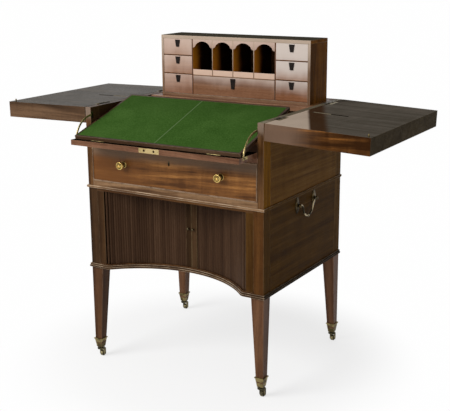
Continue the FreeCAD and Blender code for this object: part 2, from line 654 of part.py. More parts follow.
def tambour(z0, z1):
    """The right-hand curtain: slats glued to canvas along the bow."""
    start = stile_angles()[0] - math.degrees(SLAT_GAP / SLAT_BACK_RADIUS)
    distance = math.radians(90 - start) * SLAT_BACK_RADIUS + SLAT_PITCH / 2
    pieces = []
    x, y, heading = track_point(distance)
    while x < PILASTER_INNER_X - SLAT_PITCH / 2:
        piece = turned(slat(z0, z1), V(0, 0, 0), Z_AXIS, heading)
        piece.translate(V(x, y, 0))
        pieces.append(piece)
        distance += SLAT_PITCH
        x, y, heading = track_point(distance)
    radii = (SLAT_BACK_RADIUS, SLAT_BACK_RADIUS + CANVAS_THICK)
    canvas = ring_sector((0, FRONT_ARC_CENTRE_Y), radii, (nose_angle(), start), (z0, z1))
    return pieces + [canvas]


def lead_stile(z0, z1):
    """The right-hand meeting stile, and the little knob on it."""
    near = STILE_FACE_RADIUS
    radii = (near, near + LEAD_STILE_THICK)
    stile = ring_sector((0, FRONT_ARC_CENTRE_Y), radii, stile_angles(), (z0, z1))
    a = math.asin(TAMBOUR_KNOB_X / near)
    seat = V(TAMBOUR_KNOB_X, FRONT_ARC_CENTRE_Y + near * math.cos(a), TAMBOUR_KNOB_Z)
    n, r, length, tenon = TAMBOUR_KNOB_NECK, TAMBOUR_KNOB_RADIUS, TAMBOUR_KNOB_LENGTH, TAMBOUR_KNOB_TENON
    profile = [(0, -tenon), (n, -tenon), (n, length - 2 * r), (r, length - r), (r, length - n)]
    profile += [(n, length), (0, length)]
    knob = lathe(profile, seat, V(-math.sin(a), -math.cos(a), 0))
    return [stile, knob.cut(stile)]


def make_tambours():
    z0 = BASE_TOP - TRACK_DEPTH + TRACK_END_GAP
    z1 = DUST_BOTTOM + TRACK_DEPTH - TRACK_END_GAP
    curtain = tambour(z0, z1)
    stile = lead_stile(z0, z1)
    export("tambour_curtain_right", *curtain)
    export("tambour_curtain_left", *[mirrored(s) for s in curtain])
    export("tambour_stile_right", *stile)
    export("tambour_stile_left", *[mirrored(s) for s in stile])


# ---- main drawer ----
def main_front_box(inset):
    """X and Z spans of the drawer front, taken in by inset all round."""
    x = POST_INNER_UPPER - FIT_GAP - inset
    return (-x, x), (LOWER_RAIL_TOP + FIT_GAP + inset, UPPER_RAIL_BOTTOM - FIT_GAP - inset)


def make_main_drawer():
    xs, zs = main_front_box(0)
    back = -HALF_D + MAIN_FRONT_THICK
    front = slab(xs, (-HALF_D, back), zs)
    hole = rod(V(KEYHOLE_X, -HALF_D, KEYHOLE_Z), Y_AXIS, KEYHOLE_DEPTH, KEYHOLE_RADIUS)
    half = KEYHOLE_RADIUS / 2
    slot_xs = (KEYHOLE_X - half, KEYHOLE_X + half)
    slot = slab(slot_xs, (-HALF_D, -HALF_D + KEYHOLE_DEPTH), (KEYHOLE_Z - KEYHOLE_SLOT, KEYHOLE_Z))
    export("main_drawer_front", front.cut(merged(hole, slot)))
    inner_xs, inner_zs = main_front_box(BEADING_WIDTH)
    bead_ys = (-HALF_D - BEADING_PROJECTION, -HALF_D)
    export("main_drawer_beading", slab(xs, bead_ys, zs).cut(slab(inner_xs, bead_ys, inner_zs)))
    x = INNER_X - MAIN_BOX_SIDE_GAP
    rear = SHAFT_FRONT_Y - WELL_WALL_THICK - MAIN_BOX_BACK_GAP
    z0, z1 = LOWER_RAIL_TOP + MAIN_BOX_LIFT, UPPER_RAIL_BOTTOM - MAIN_BOX_TOP_DROP
    box = slab((-x, x), (back, rear), (z0, z1))
    w = MAIN_BOX_WALL
    cavity = slab((-x + w, x - w), (back, rear - w), (z0 + MAIN_BOX_BOTTOM, z1))
    export("main_drawer_box", box.cut(cavity))
    n, r, rose, length = KNOB_NECK_RADIUS, KNOB_RADIUS, KNOB_ROSE_RADIUS, KNOB_LENGTH
    head = length - KNOB_HEAD_LENGTH
    shoulder = length - KNOB_DOME_HEIGHT
    profile = [(0, 0), (rose, 0), (rose, KNOB_ROSE_THICK), (n, KNOB_ROSE_THICK + KNOB_COVE)]
    profile += [(n, head - KNOB_COVE), (r - KNOB_ROSE_THICK, head), (r, (head + shoulder) / 2)]
    profile += [(KNOB_DOME_RADIUS, shoulder), (0, length)]
    knob = lathe(profile, V(KNOB_X, -HALF_D, KNOB_Z), -Y_AXIS)
    export("main_drawer_knobs", *pair(knob))


# ---- lids ----
def hinge_knuckle(sx, sy, clear):
    y = sy * HINGE_Y - HINGE_LENGTH / 2
    return rod(V(sx * LID_AXIS_X, y, LID_AXIS_Z), Y_AXIS, HINGE_LENGTH, HINGE_KNUCKLE_RADIUS + clear)


def carcass_leaf(sx, sy):
    """The hinge leaf let into the top edge of the carcass side."""
    ys = (sy * HINGE_Y - HINGE_LENGTH / 2, sy * HINGE_Y + HINGE_LENGTH / 2)
    xs = (sx * (HALF_W - HINGE_LEAF_WIDTH), sx * HALF_W)
    return slab(xs, ys, (TOP_Z - HINGE_LEAF_THICK, TOP_Z))


def lid_leaf(sy):
    """The leaf let into the right-hand lid, open and level."""
    ys = (sy * HINGE_Y - HINGE_LENGTH / 2, sy * HINGE_Y + HINGE_LENGTH / 2)
    start = LID_AXIS_X + LID_HINGE_OFFSET
    return slab((start, start + HINGE_LEAF_WIDTH), ys, (TOP_Z - HINGE_LEAF_THICK, TOP_Z))


def level_lid(pin_x):
    """The right-hand lid open and level, and its brass: stay, pin and hinge leaves."""
    x0, x1 = LID_AXIS_X + LID_HINGE_OFFSET, LID_AXIS_X + LID_REACH
    lid = slab((x0, x1), (-HALF_D, HALF_D), (TOP_Z - LID_THICK, TOP_Z))
    s0 = LID_AXIS_X + LID_SLOT_START
    slot_ys = (LID_SLOT_Y - LID_SLOT_WIDTH / 2, LID_SLOT_Y + LID_SLOT_WIDTH / 2)
    lid = lid.cut(slab((s0, s0 + LID_SLOT_LENGTH), slot_ys, (TOP_Z - LID_SLOT_DEPTH, TOP_Z)))
    stay_zs = (TOP_Z - LID_SLOT_DEPTH, TOP_Z - LID_SLOT_DEPTH + LID_STAY_THICK)
    fittings = [slab((s0, s0 + LID_STAY_LENGTH), slot_ys, stay_zs)]
    for sy in (-1, 1):
        knuckle = hinge_knuckle(1, sy, PIN_CLEAR)
        leaf = lid_leaf(sy)
        lid = lid.cut(knuckle).cut(leaf)
        fittings.append(leaf.cut(knuckle))
    r, h = LID_PIN_RADIUS, LID_PIN_HEIGHT
    fittings.append(lathe([(0, 0), (r, 0), (r, h - r), (0, h)], V(pin_x, LID_PIN_Y, TOP_Z), Z_AXIS))
    return lid, fittings


def make_lids():
    axis_point = V(LID_AXIS_X, 0, LID_AXIS_Z)
    closed_pins = {"left": -LOCK_HOLES_X[0], "right": LOCK_HOLES_X[1]}
    droops = {"left": LID_DROOP_LEFT, "right": LID_DROOP_RIGHT}
    for side, closed_x in closed_pins.items():
        reach = LID_AXIS_X - closed_x
        lid, fittings = level_lid(LID_AXIS_X + reach)
        pieces = [turned(p, axis_point, Y_AXIS, droops[side]) for p in [lid] + fittings]
        if side == "left":
            pieces = [mirrored(p) for p in pieces]
        export("lid_" + side, pieces[0])
        export("lid_fittings_" + side, *pieces[1:])
    hinges = []
    for sx in (-1, 1):
        for sy in (-1, 1):
            hinges.append(merged(carcass_leaf(sx, sy), hinge_knuckle(sx, sy, 0)))
    export("lid_hinges", *hinges)


# ---- drop front ----
def stay_foot(sx):
    """The flat end of a quadrant stay, let into the end of the drop front."""
    y = -HALF_D - STAY_RADIUS - STAY_STRAP / 2
    xs = (sx * STAY_INNER_X, sx * STAY_OUTER_X)
    return slab(xs, (y, y + STAY_FOOT_LENGTH), (FALL_TOP_Z - FALL_THICK / 2, FALL_TOP_Z))


def quadrant_stay(sx):
    """A strap bent to a quarter circle about the drop front's pivot."""
    r0, r1 = STAY_RADIUS - STAY_STRAP / 2, STAY_RADIUS + STAY_STRAP / 2
    arc = ring_sector((0, 0), (r0, r1), (90, 180 - STAY_START_ANGLE), (0, STAY_THICK))
    arc.rotate(V(0, 0, 0), V(1, 1, 1), 120)
    arc.translate(V(min(sx * STAY_INNER_X, sx * STAY_OUTER_X), -HALF_D, FALL_PIVOT_Z))
    return merged(arc, stay_foot(sx))


def make_fall():
    xs = (-FALL_HALF_WIDTH, FALL_HALF_WIDTH)
    board = slab(xs, (FALL_EDGE_Y, -HALF_D), (FALL_PIVOT_Z, FALL_TOP_Z))
    z = (FALL_PIVOT_Z + FALL_TOP_Z) / 2
    outer = FALL_EDGE_Y - LOCK_PROUD
    half = LOCK_LENGTH / 2
    lock_zs = (z - LOCK_HEIGHT / 2, z + LOCK_HEIGHT / 2)
    plate = slab((LOCK_X - half, LOCK_X + half), (outer, outer + LOCK_THICK), lock_zs)
    board = board.cut(plate)
    for x in LOCK_HOLES_X:
        hole = rod(V(x, outer, z), Y_AXIS, LOCK_HOLE_DEPTH, LOCK_HOLE_RADIUS)
        board = board.cut(hole)
        plate = plate.cut(hole)
    stays = [quadrant_stay(sx) for sx in (-1, 1)]
    knuckles = [slope_knuckle(x, 0) for x in (-SLOPE_HINGE_X, SLOPE_HINGE_X)]
    for piece in stays + knuckles:
        board = board.cut(piece)
    export("fall_front", board)
    export("fall_lock", plate)
    export("fall_stays", *stays)
    export("slope_hinges", *knuckles)
    brackets = []
    for sx in (-1, 1):
        lug_xs = (sx * (FALL_HALF_WIDTH - FALL_BRACKET_LENGTH), sx * FALL_HALF_WIDTH)
        zs = (UPPER_RAIL_TOP, UPPER_RAIL_TOP + FALL_BRACKET_HEIGHT)
        brackets.append(slab(lug_xs, (-HALF_D, -HALF_D + FALL_THICK), zs))
        top = FALL_PIVOT_Z + STAY_RADIUS + KEEPER_HEIGHT / 2
        keeper_xs = (sx * (POST_INNER_UPPER - KEEPER_THICK), sx * POST_INNER_UPPER)
        brackets.append(slab(keeper_xs, (-HALF_D, -HALF_D + KEEPER_DEPTH), (top - KEEPER_HEIGHT, top)))
    export("fall_brackets", *brackets)


# ---- writing slope ----
def slope_knuckle(x, clear):
    start = V(x - SLOPE_HINGE_LENGTH / 2, SLOPE_HINGE_Y, FALL_TOP_Z)
    return rod(start, X_AXIS, SLOPE_HINGE_LENGTH, SLOPE_HINGE_RADIUS + clear)


def make_slope():
    """Drawn level from the hinge line back, then tilted about it."""
    hinge = V(0, SLOPE_HINGE_Y, FALL_TOP_Z)
    y0 = SLOPE_HINGE_Y + SLOPE_HINGE_GAP
    y1 = y0 + SLOPE_LENGTH
    z0 = FALL_TOP_Z + SLOPE_HINGE_GAP
    z1 = z0 + SLOPE_THICK
    board = slab((-SLOPE_HALF_WIDTH, SLOPE_HALF_WIDTH), (y0, y1), (z0, z1))
    m = BAIZE_MARGIN
    cloth_xs = (-SLOPE_HALF_WIDTH + m, SLOPE_HALF_WIDTH - m)
    baize = slab(cloth_xs, (y0 + m, y1 - m), (z1 - BAIZE_DEPTH, z1))
    board = board.cut(baize)
    for x in (-SLOPE_HINGE_X, SLOPE_HINGE_X):
        board = board.cut(slope_knuckle(x, PIN_CLEAR))
    export("slope_board", turned(board, hinge, X_AXIS, SLOPE_TILT))
    export("slope_baize", turned(baize, hinge, X_AXIS, SLOPE_TILT))
    pin = turned(
        rod(V(-PROP_WIDTH / 2, y0 + PROP_REACH, z0 - PROP_DROP), X_AXIS, PROP_WIDTH, PROP_THICK / 2),
        hinge,
        X_AXIS,
        SLOPE_TILT,
    )
    middle = pin.CenterOfMass
    print("slope prop pivot", round(middle.y - ORIGIN_Y, 3), round(middle.z, 3))
    foot_z = WELL_FLOOR_TOP + PIN_CLEAR
    ys = (middle.y - PROP_THICK / 2, middle.y + PROP_THICK / 2)
    leg_board = slab((-PROP_WIDTH / 2, PROP_WIDTH / 2), ys, (foot_z, middle.z))
    window_zs = (foot_z + 2 * PROP_THICK, middle.z - 2 * PROP_THICK)
    window_x = PROP_WIDTH / 2 - 2 * PROP_THICK
    export("slope_prop", merged(pin, leg_board).cut(slab((-window_x, window_x), ys, window_zs)))


# ---- nest ----
def hole_dividers():
    """X of the three uprights between the pigeonholes."""
    pitch = 2 * COLUMN_DIVIDER_X / PIGEONHOLES
    return [-COLUMN_DIVIDER_X + pitch * n for n in range(1, PIGEONHOLES)]


def hole_spans():
    """X span of each pigeonhole."""
    xs = [-COLUMN_DIVIDER_X] + hole_dividers() + [COLUMN_DIVIDER_X]
    spans = []
    for n, (a, b) in enumerate(zip(xs, xs[1:])):
        left = (COLUMN_DIVIDER_THICK if n == 0 else HOLE_DIVIDER_THICK) / 2
        right = (COLUMN_DIVIDER_THICK if n == PIGEONHOLES - 1 else HOLE_DIVIDER_THICK) / 2
        spans.append((a + left, b - right))
    return spans


def arch_panel(x0, x1):
    """The cusped valance at the head of one pigeonhole."""
    middle = (x0 + x1) / 2
    cusps = [x0 + ARCH_CUSP_INSET, x1 - ARCH_CUSP_INSET]
    y = NEST_FACE_Y

    def shoulder(side_x, cusp_x):
        bend = V((side_x + 2 * cusp_x) / 3, y, (2 * ARCH_SPRING_Z + ARCH_CUSP_Z) / 3)
        return Part.Arc(V(side_x, y, ARCH_SPRING_Z), bend, V(cusp_x, y, ARCH_CUSP_Z)).toShape()

    crown = Part.Arc(V(cusps[0], y, ARCH_CUSP_Z), V(middle, y, ARCH_APEX_Z), V(cusps[1], y, ARCH_CUSP_Z))
    edges = [shoulder(x0, cusps[0]), crown.toShape(), shoulder(x1, cusps[1])]
    top = NEST_TOP_UNDER
    rim = [V(x1, y, ARCH_SPRING_Z), V(x1, y, top), V(x0, y, top), V(x0, y, ARCH_SPRING_Z)]
    face = Part.Face(Part.Wire(Part.__sortEdges__(closed_by(edges, rim))))
    return face.extrude(V(0, ARCH_THICK, 0))


def make_nest_case():
    ys = (NEST_FRONT_Y, NEST_BACK_Y)
    inner = (-NEST_INNER_X, NEST_INNER_X)
    side_zs = (NEST_BASE_BOTTOM - NEST_SKIRT, NEST_TOP_UNDER)
    side = slab((NEST_INNER_X, NEST_HALF_WIDTH), ys, side_zs)
    top = slab((-NEST_HALF_WIDTH, NEST_HALF_WIDTH), ys, (NEST_TOP_UNDER, NEST_TOP_Z))
    base = slab(inner, ys, (NEST_BASE_BOTTOM, NEST_FLOOR_Z))
    back = slab(inner, (NEST_BACK_INNER, NEST_BACK_Y), (NEST_FLOOR_Z, NEST_TOP_UNDER))
    export("nest_case", *pair(side), top, base, back)


def make_nest_partitions():
    ys = (NEST_FACE_Y, NEST_BACK_INNER)
    pieces = []
    for x in (-COLUMN_DIVIDER_X, COLUMN_DIVIDER_X):
        h = COLUMN_DIVIDER_THICK / 2
        pieces.append(slab((x - h, x + h), ys, (NEST_FLOOR_Z, NEST_TOP_UNDER)))
    for x in hole_dividers():
        h = HOLE_DIVIDER_THICK / 2
        pieces.append(slab((x - h, x + h), ys, (CENTRE_SHELF_Z + BLADE_THICK / 2, NEST_TOP_UNDER)))
    x = COLUMN_DIVIDER_X - COLUMN_DIVIDER_THICK / 2
    pieces.append(slab((-x, x), ys, (CENTRE_SHELF_Z - BLADE_THICK / 2, CENTRE_SHELF_Z + BLADE_THICK / 2)))
    for z in (LOWER_BLADE_Z, UPPER_BLADE_Z):
        xs = (COLUMN_DIVIDER_X + COLUMN_DIVIDER_THICK / 2, NEST_INNER_X)
        pieces += pair(slab(xs, ys, (z - BLADE_THICK / 2, z + BLADE_THICK / 2)))
    export("nest_partitions", *pieces)
    export("nest_arches", *[arch_panel(a, b) for a, b in hole_spans()])
    lip_zs = (CENTRE_SHELF_Z + BLADE_THICK / 2, LIP_TOP_Z)
    lip_ys = (NEST_FACE_Y, NEST_FACE_Y + LIP_THICK)
    export("nest_lips", *[slab(span, lip_ys, lip_zs) for span in hole_spans()])


def drawer_tab(x, z_top, height):
    """A tapering leather pull on a drawer face."""
    a, b = TAB_TOP_WIDTH / 2, TAB_BOTTOM_WIDTH / 2
    y = NEST_FACE_Y
    corners = [(-a, 0), (a, 0), (b, -height), (-b, -height), (-a, 0)]
    face = Part.Face(Part.makePolygon([V(x + dx, y, z_top + dz) for dx, dz in corners]))
    return face.extrude(V(0, -TAB_THICK, 0))


def small_drawer(x0, x1, z0, z1, tab_height):
    """A lined-up box with a thick front, filling an opening less its gaps, and its tab."""
    x0, x1, z0, z1 = x0 + SLIDE_GAP, x1 - SLIDE_GAP, z0 + SLIDE_GAP, z1 - SLIDE_GAP
    rear = NEST_BACK_INNER - SMALL_BACK_GAP
    box = slab((x0, x1), (NEST_FACE_Y, rear), (z0, z1))
    cavity_xs = (x0 + SMALL_WALL, x1 - SMALL_WALL)
    cavity_ys = (NEST_FACE_Y + SMALL_FRONT_THICK, rear - SMALL_WALL)
    cavity = slab(cavity_xs, cavity_ys, (z0 + SMALL_BOTTOM, z1))
    return [box.cut(cavity), drawer_tab((x0 + x1) / 2, z1 - TAB_TOP_DROP, tab_height)]


def make_small_drawers():
    h = BLADE_THICK / 2
    rows = {
        "lower": (NEST_FLOOR_Z, LOWER_BLADE_Z - h),
        "middle": (LOWER_BLADE_Z + h, UPPER_BLADE_Z - h),
        "upper": (UPPER_BLADE_Z + h, NEST_TOP_UNDER),
    }
    inner = COLUMN_DIVIDER_X + COLUMN_DIVIDER_THICK / 2
    for row, (z0, z1) in rows.items():
        right = small_drawer(inner, NEST_INNER_X, z0, z1, TAB_HEIGHT)
        export("nest_drawer_right_" + row, *right)
        export("nest_drawer_left_" + row, *[mirrored(s) for s in right])
    x = inner - COLUMN_DIVIDER_THICK
    top = CENTRE_SHELF_Z - h
    export("nest_drawer_centre", *small_drawer(-x, x, NEST_FLOOR_Z, top, TAB_CENTRE_HEIGHT))


# ---- side handles ----
def bail_ends():
    """Half the bail's spread at its pins, and the pins' height over the bow's lowest point."""
    a = math.radians(BAIL_BOW_LIFT)
    y = (BAIL_BOW_RADIUS + BAIL_NECK_RADIUS) * math.cos(a)
    rise = BAIL_BOW_RADIUS - (BAIL_BOW_RADIUS + BAIL_NECK_RADIUS) * math.sin(a) + BAIL_NECK_RADIUS
    return y, rise


def bail(x):
    """A swan-necked bail hanging in the plane at x."""
    y_end, rise = bail_ends()
    low = BAIL_PIVOT_Z - rise
    bow = V(x, BAIL_CENTRE_Y, low + BAIL_BOW_RADIUS)

    def point(centre, radius, degrees):
        a = math.radians(degrees)
        return V(x, centre.y + radius * math.cos(a), centre.z + radius * math.sin(a))

    edges = []
    for side in (-1, 1):
        neck = V(x, BAIL_CENTRE_Y + side * y_end, BAIL_PIVOT_Z - BAIL_NECK_RADIUS)
        level = 180 + BAIL_BOW_LIFT if side < 0 else -BAIL_BOW_LIFT
        joint = point(bow, BAIL_BOW_RADIUS, level)
        turn = BAIL_BOW_LIFT if side < 0 else 180 - BAIL_BOW_LIFT
        middle = point(neck, BAIL_NECK_RADIUS, (turn + 90) / 2)
        top = point(neck, BAIL_NECK_RADIUS, 90)
        tip = V(x, top.y + side * BAIL_PIN_LENGTH, top.z)
        edges += [Part.makeLine(top, tip), Part.Arc(joint, middle, top).toShape()]
    bow_arc = [point(bow, BAIL_BOW_RADIUS, a) for a in (180 + BAIL_BOW_LIFT, 270, 360 - BAIL_BOW_LIFT)]
    edges.append(Part.Arc(*bow_arc).toShape())
    path = Part.Wire(Part.__sortEdges__(edges))
    tip_y = BAIL_CENTRE_Y - y_end - BAIL_PIN_LENGTH
    ring = Part.Wire(Part.makeCircle(BAIL_WIRE_RADIUS, V(x, tip_y, BAIL_PIVOT_Z), Y_AXIS))
    return path.makePipeShell([ring], True, False)


def backplate(x0, side):
    """An oval plate with the ball that the bail's pin turns in; side is -1 for the front one."""
    y_end, _ = bail_ends()
    y = BAIL_CENTRE_Y + side * (y_end + BAIL_PIN_LENGTH - BAIL_PIN_END_SETBACK)
    oval = Part.Ellipse(V(0, 0, 0), BACKPLATE_HALF_HEIGHT, BACKPLATE_HALF_WIDTH)
    plate = Part.Face(Part.Wire(oval.toShape())).extrude(V(0, 0, BACKPLATE_THICK))
    plate.rotate(V(0, 0, 0), Y_AXIS, 90)
    plate.translate(V(x0, y, BAIL_PIVOT_Z))
    post = rod(V(x0, y, BAIL_PIVOT_Z), X_AXIS, BAIL_STANDOFF, BAIL_POST_RADIUS)
    ball = Part.makeSphere(BAIL_BALL_RADIUS, V(x0 + BAIL_STANDOFF, y, BAIL_PIVOT_Z))
    eye_start = BAIL_CENTRE_Y + side * (y_end - BAIL_BALL_RADIUS) if side > 0 else y - BAIL_BALL_RADIUS
    length = 2 * BAIL_BALL_RADIUS + BAIL_PIN_LENGTH
    eye = rod(V(x0 + BAIL_STANDOFF, eye_start, BAIL_PIVOT_Z), Y_AXIS, length, BAIL_WIRE_RADIUS + PIN_CLEAR)
    return merged(plate, post, ball).cut(eye)


def make_handles():
    right = bail(HALF_W + BAIL_STANDOFF)
    export("side_handle_right", right)
    export("side_handle_left", mirrored(right))
    plates = [backplate(HALF_W, side) for side in (-1, 1)]
    export("handle_backplates", *plates, *[mirrored(p) for p in plates])


def main():
    os.makedirs("parts", exist_ok=True)
    make_legs()
    make_sides()
    make_boards()
    make_rails()
    make_well()
    make_mouldings()
    make_tambours()
    make_main_drawer()
    make_lids()
    make_fall()
    make_slope()
    make_nest_case()
    make_nest_partitions()
    make_small_drawers()
    make_handles()


main()
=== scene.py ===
# %% [markdown]
# # A captain's desk, dressed and lit
#
# The desk arrives as a frame of exact solids, one object for each joiner's piece. This lesson keeps
# every size and gives each piece what a solid lacks: rounded arrises, grain that runs with the
# timber, tarnish on the brass and the nap of the green cloth. Nothing here is read from disk but
# the frame itself.

# %% Load the frame
import json
import math
import random

import bmesh
import bpy
from mathutils import Matrix, Vector
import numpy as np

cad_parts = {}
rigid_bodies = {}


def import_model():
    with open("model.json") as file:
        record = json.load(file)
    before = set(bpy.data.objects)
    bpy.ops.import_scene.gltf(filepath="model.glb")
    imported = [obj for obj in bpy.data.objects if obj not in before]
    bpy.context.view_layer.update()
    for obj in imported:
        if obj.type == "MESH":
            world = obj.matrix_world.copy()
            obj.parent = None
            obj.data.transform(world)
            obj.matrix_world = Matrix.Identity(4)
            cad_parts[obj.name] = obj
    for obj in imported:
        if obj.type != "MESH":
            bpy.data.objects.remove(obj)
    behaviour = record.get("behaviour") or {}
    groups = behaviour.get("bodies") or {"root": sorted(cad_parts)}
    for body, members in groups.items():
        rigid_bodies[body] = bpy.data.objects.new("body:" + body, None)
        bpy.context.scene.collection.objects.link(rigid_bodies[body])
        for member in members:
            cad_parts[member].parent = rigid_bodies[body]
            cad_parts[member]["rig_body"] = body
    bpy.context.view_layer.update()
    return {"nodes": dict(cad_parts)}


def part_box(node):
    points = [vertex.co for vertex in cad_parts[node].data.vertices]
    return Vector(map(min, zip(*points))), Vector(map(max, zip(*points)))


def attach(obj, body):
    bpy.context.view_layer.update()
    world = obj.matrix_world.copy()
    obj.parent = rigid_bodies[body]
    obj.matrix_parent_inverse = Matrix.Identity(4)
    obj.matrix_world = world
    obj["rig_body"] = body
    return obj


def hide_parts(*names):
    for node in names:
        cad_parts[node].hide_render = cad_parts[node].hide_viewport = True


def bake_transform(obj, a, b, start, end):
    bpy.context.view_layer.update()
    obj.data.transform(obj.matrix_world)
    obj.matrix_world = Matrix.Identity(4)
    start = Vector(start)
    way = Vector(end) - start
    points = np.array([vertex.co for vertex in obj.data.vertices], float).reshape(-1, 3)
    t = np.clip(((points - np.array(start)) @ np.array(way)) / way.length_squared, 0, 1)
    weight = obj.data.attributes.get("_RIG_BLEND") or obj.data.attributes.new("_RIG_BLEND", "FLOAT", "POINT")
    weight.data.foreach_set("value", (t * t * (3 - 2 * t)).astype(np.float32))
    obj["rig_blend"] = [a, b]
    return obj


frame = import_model()

# %% [markdown]
# ## The camera
#
# The desk is seen from its front right, a little above the writing height. A long lens keeps the
# upright lines upright. A camera looks along its own -Z, so its matrix is built from three
# directions: right, up and backwards. Turning right and up about the view line gives the slight roll.

# %% Place the camera
EYE = Vector((1.5615, -2.4847, 1.2801))
YAW = math.radians(31.17)
PITCH = math.radians(14.66)
ROLL = math.radians(-0.43)
SENSOR_MM = 36.0
LENS_MM = 75.21

forward = Vector((-math.sin(YAW) * math.cos(PITCH), math.cos(YAW) * math.cos(PITCH), -math.sin(PITCH)))
level_right = Vector((math.cos(YAW), math.sin(YAW), 0.0))
level_up = level_right.cross(forward)
right = math.cos(ROLL) * level_right + math.sin(ROLL) * level_up
up = right.cross(forward)

lens = bpy.data.cameras.new("camera")
lens.sensor_fit = "HORIZONTAL"
lens.sensor_width = SENSOR_MM
lens.lens = LENS_MM
camera = bpy.data.objects.new("camera", lens)
turn = Matrix((right, up, -forward)).transposed()
camera.matrix_world = Matrix.Translation(EYE) @ turn.to_4x4()
bpy.context.scene.collection.objects.link(camera)
bpy.context.scene.camera = camera
print("camera at", [round(c, 3) for c in camera.matrix_world.translation])

# %% [markdown]
# ## Writing materials as sums
#
# A material is a graph of nodes, and a graph is hard to read. Two small classes make it read as
# arithmetic. `Value` holds one output socket, so `0.4 + smudge * 0.1` adds its own Math nodes.
# `Finish` holds one material, or the sky, and its `add` makes every other node: first the node's
# settings, then what goes into its sockets.

# %% A value that can be added and multiplied
class Value:
    def __init__(self, finish, socket):
        self.finish = finish
        self.socket = socket

    def maths(self, operation, first, second=0.0):
        return self.finish.add("ShaderNodeMath", {"operation": operation}, {0: first, 1: second})

    def __add__(self, other):
        return self.maths("ADD", self, other)

    def __radd__(self, other):
        return self.maths("ADD", other, self)

    def __sub__(self, other):
        return self.maths("SUBTRACT", self, other)

    def __rsub__(self, other):
        return self.maths("SUBTRACT", other, self)

    def __mul__(self, other):
        return self.maths("MULTIPLY", self, other)

    def __abs__(self):
        return self.maths("ABSOLUTE", self)


# %% A material under construction
class Finish:
    def __init__(self, name, maker=bpy.data.materials.new):
        self.material = maker(name)
        self.material.use_nodes = True
        self.tree = self.material.node_tree
        self.tree.nodes.clear()

    def add(self, kind, settings=None, inputs=None, output=0):
        node = self.tree.nodes.new(kind)
        for key, value in (settings or {}).items():
            if key == "stops":
                self.set_stops(node.color_ramp.elements, value)
            else:
                setattr(node, key, value)
        for key, value in (inputs or {}).items():
            if isinstance(value, Value):
                self.tree.links.new(value.socket, node.inputs[key])
            else:
                node.inputs[key].default_value = value
        return Value(self, node.outputs[output]) if node.outputs else None

    def set_stops(self, elements, stops):
        while len(elements) < len(stops):
            elements.new(1.0)
        for element, (position, colour) in zip(elements, stops):
            element.position = position
            element.color = (*colour, 1.0)

    def attribute(self, name, output="Fac"):
        return self.add("ShaderNodeAttribute", {"attribute_name": name}, output=output)

    def place(self):
        return self.add("ShaderNodeTexCoord", output="Object")

    def stretch(self, vector, factors):
        return self.add("ShaderNodeVectorMath", {"operation": "MULTIPLY"}, {0: vector, 1: factors})

    def noise(self, vector, scale, detail, distortion=0.0):
        inputs = {"Vector": vector, "Scale": scale, "Detail": detail, "Distortion": distortion}
        return self.add("ShaderNodeTexNoise", {}, inputs)

    def ramp(self, factor, stops):
        return self.add("ShaderNodeValToRGB", {"stops": stops}, {0: factor})

    def step(self, value, start, end, low=0.0, high=1.0):
        settings = {"interpolation_type": "SMOOTHSTEP"}
        inputs = {"Value": value, "From Min": start, "From Max": end, "To Min": low, "To Max": high}
        return self.add("ShaderNodeMapRange", settings, inputs)

    def mix(self, factor, first, second):
        colours = [c if isinstance(c, Value) else (*c, 1.0) for c in (first, second)]
        inputs = {0: factor, 6: colours[0], 7: colours[1]}
        return self.add("ShaderNodeMix", {"data_type": "RGBA"}, inputs, 2)

    def seen_by_eye(self):
        rays = [self.add("ShaderNodeLightPath", output=f"Is {name} Ray") for name in
                ("Camera", "Glossy", "Transmission")]
        settings = {"operation": "ADD", "use_clamp": True}
        return self.add("ShaderNodeMath", settings, {0: rays[0] + rays[1], 1: rays[2]})

    def surface(self, colour, roughness, height, depth, **numbers):
        inputs = {"Base Color": colour, "Roughness": roughness}
        inputs.update({key.replace("_", " "): value for key, value in numbers.items()})
        bump = {"Strength": 1.0, "Distance": depth, "Height": height}
        inputs["Normal"] = self.add("ShaderNodeBump", {}, bump)
        shader = self.add("ShaderNodeBsdfPrincipled", {}, inputs)
        self.add("ShaderNodeOutputMaterial", {}, {"Surface": shader})
        print("finish", self.material.name, "with", len(self.tree.nodes), "nodes")
        return self.material


# %% [markdown]
# ## Floor, sky and lamp
#
# The desk stands on pale seamless paper. For the camera the paper is mostly its own white, with a
# share of real shading left so that the soft shadow under the desk stays. The sky is white to the
# camera and in reflections, but lights the desk at less than half that level. A broad lamp at the
# front left lights the fronts and leaves the right-hand sides in shade, as a soft box would.

# %% Paper floor
FLOOR_RADIUS = 80.0
GLOW_SHARE = 0.72
WHITE_SPAN = (0.40, 0.72)

paper = Finish("paper")
seen = paper.seen_by_eye()
distance = paper.add("ShaderNodeVectorMath", {"operation": "LENGTH"}, {0: paper.place()}, "Value")
# Near the desk the glow is a little darker and more real shading shows: painted shade round the desk.
whiter = paper.step(distance, *WHITE_SPAN)
shade = paper.mix(whiter, (0.985, 0.985, 0.985), (0.995, 0.995, 0.995))
glow = paper.add("ShaderNodeEmission", {}, {"Color": shade, "Strength": 1.0})
bright = paper.mix(seen, (0.84, 0.84, 0.83), (1.0, 1.0, 1.0))
matt = paper.add("ShaderNodeBsdfDiffuse", {}, {"Color": bright})
own_white = GLOW_SHARE + whiter * (1.0 - GLOW_SHARE)
sheet = paper.add("ShaderNodeMixShader", {}, {0: seen * own_white, 1: matt, 2: glow})
paper.add("ShaderNodeOutputMaterial", {}, {"Surface": sheet})

floor_mesh = bpy.data.meshes.new("floor")
bm = bmesh.new()
bmesh.ops.create_circle(bm, cap_ends=True, radius=FLOOR_RADIUS, segments=96)
bm.to_mesh(floor_mesh)
bm.free()
floor_mesh.materials.append(paper.material)
floor = bpy.data.objects.new("floor", floor_mesh)
bpy.context.scene.collection.objects.link(floor)
print("floor at z 0,", round(2 * FLOOR_RADIUS), "m across")

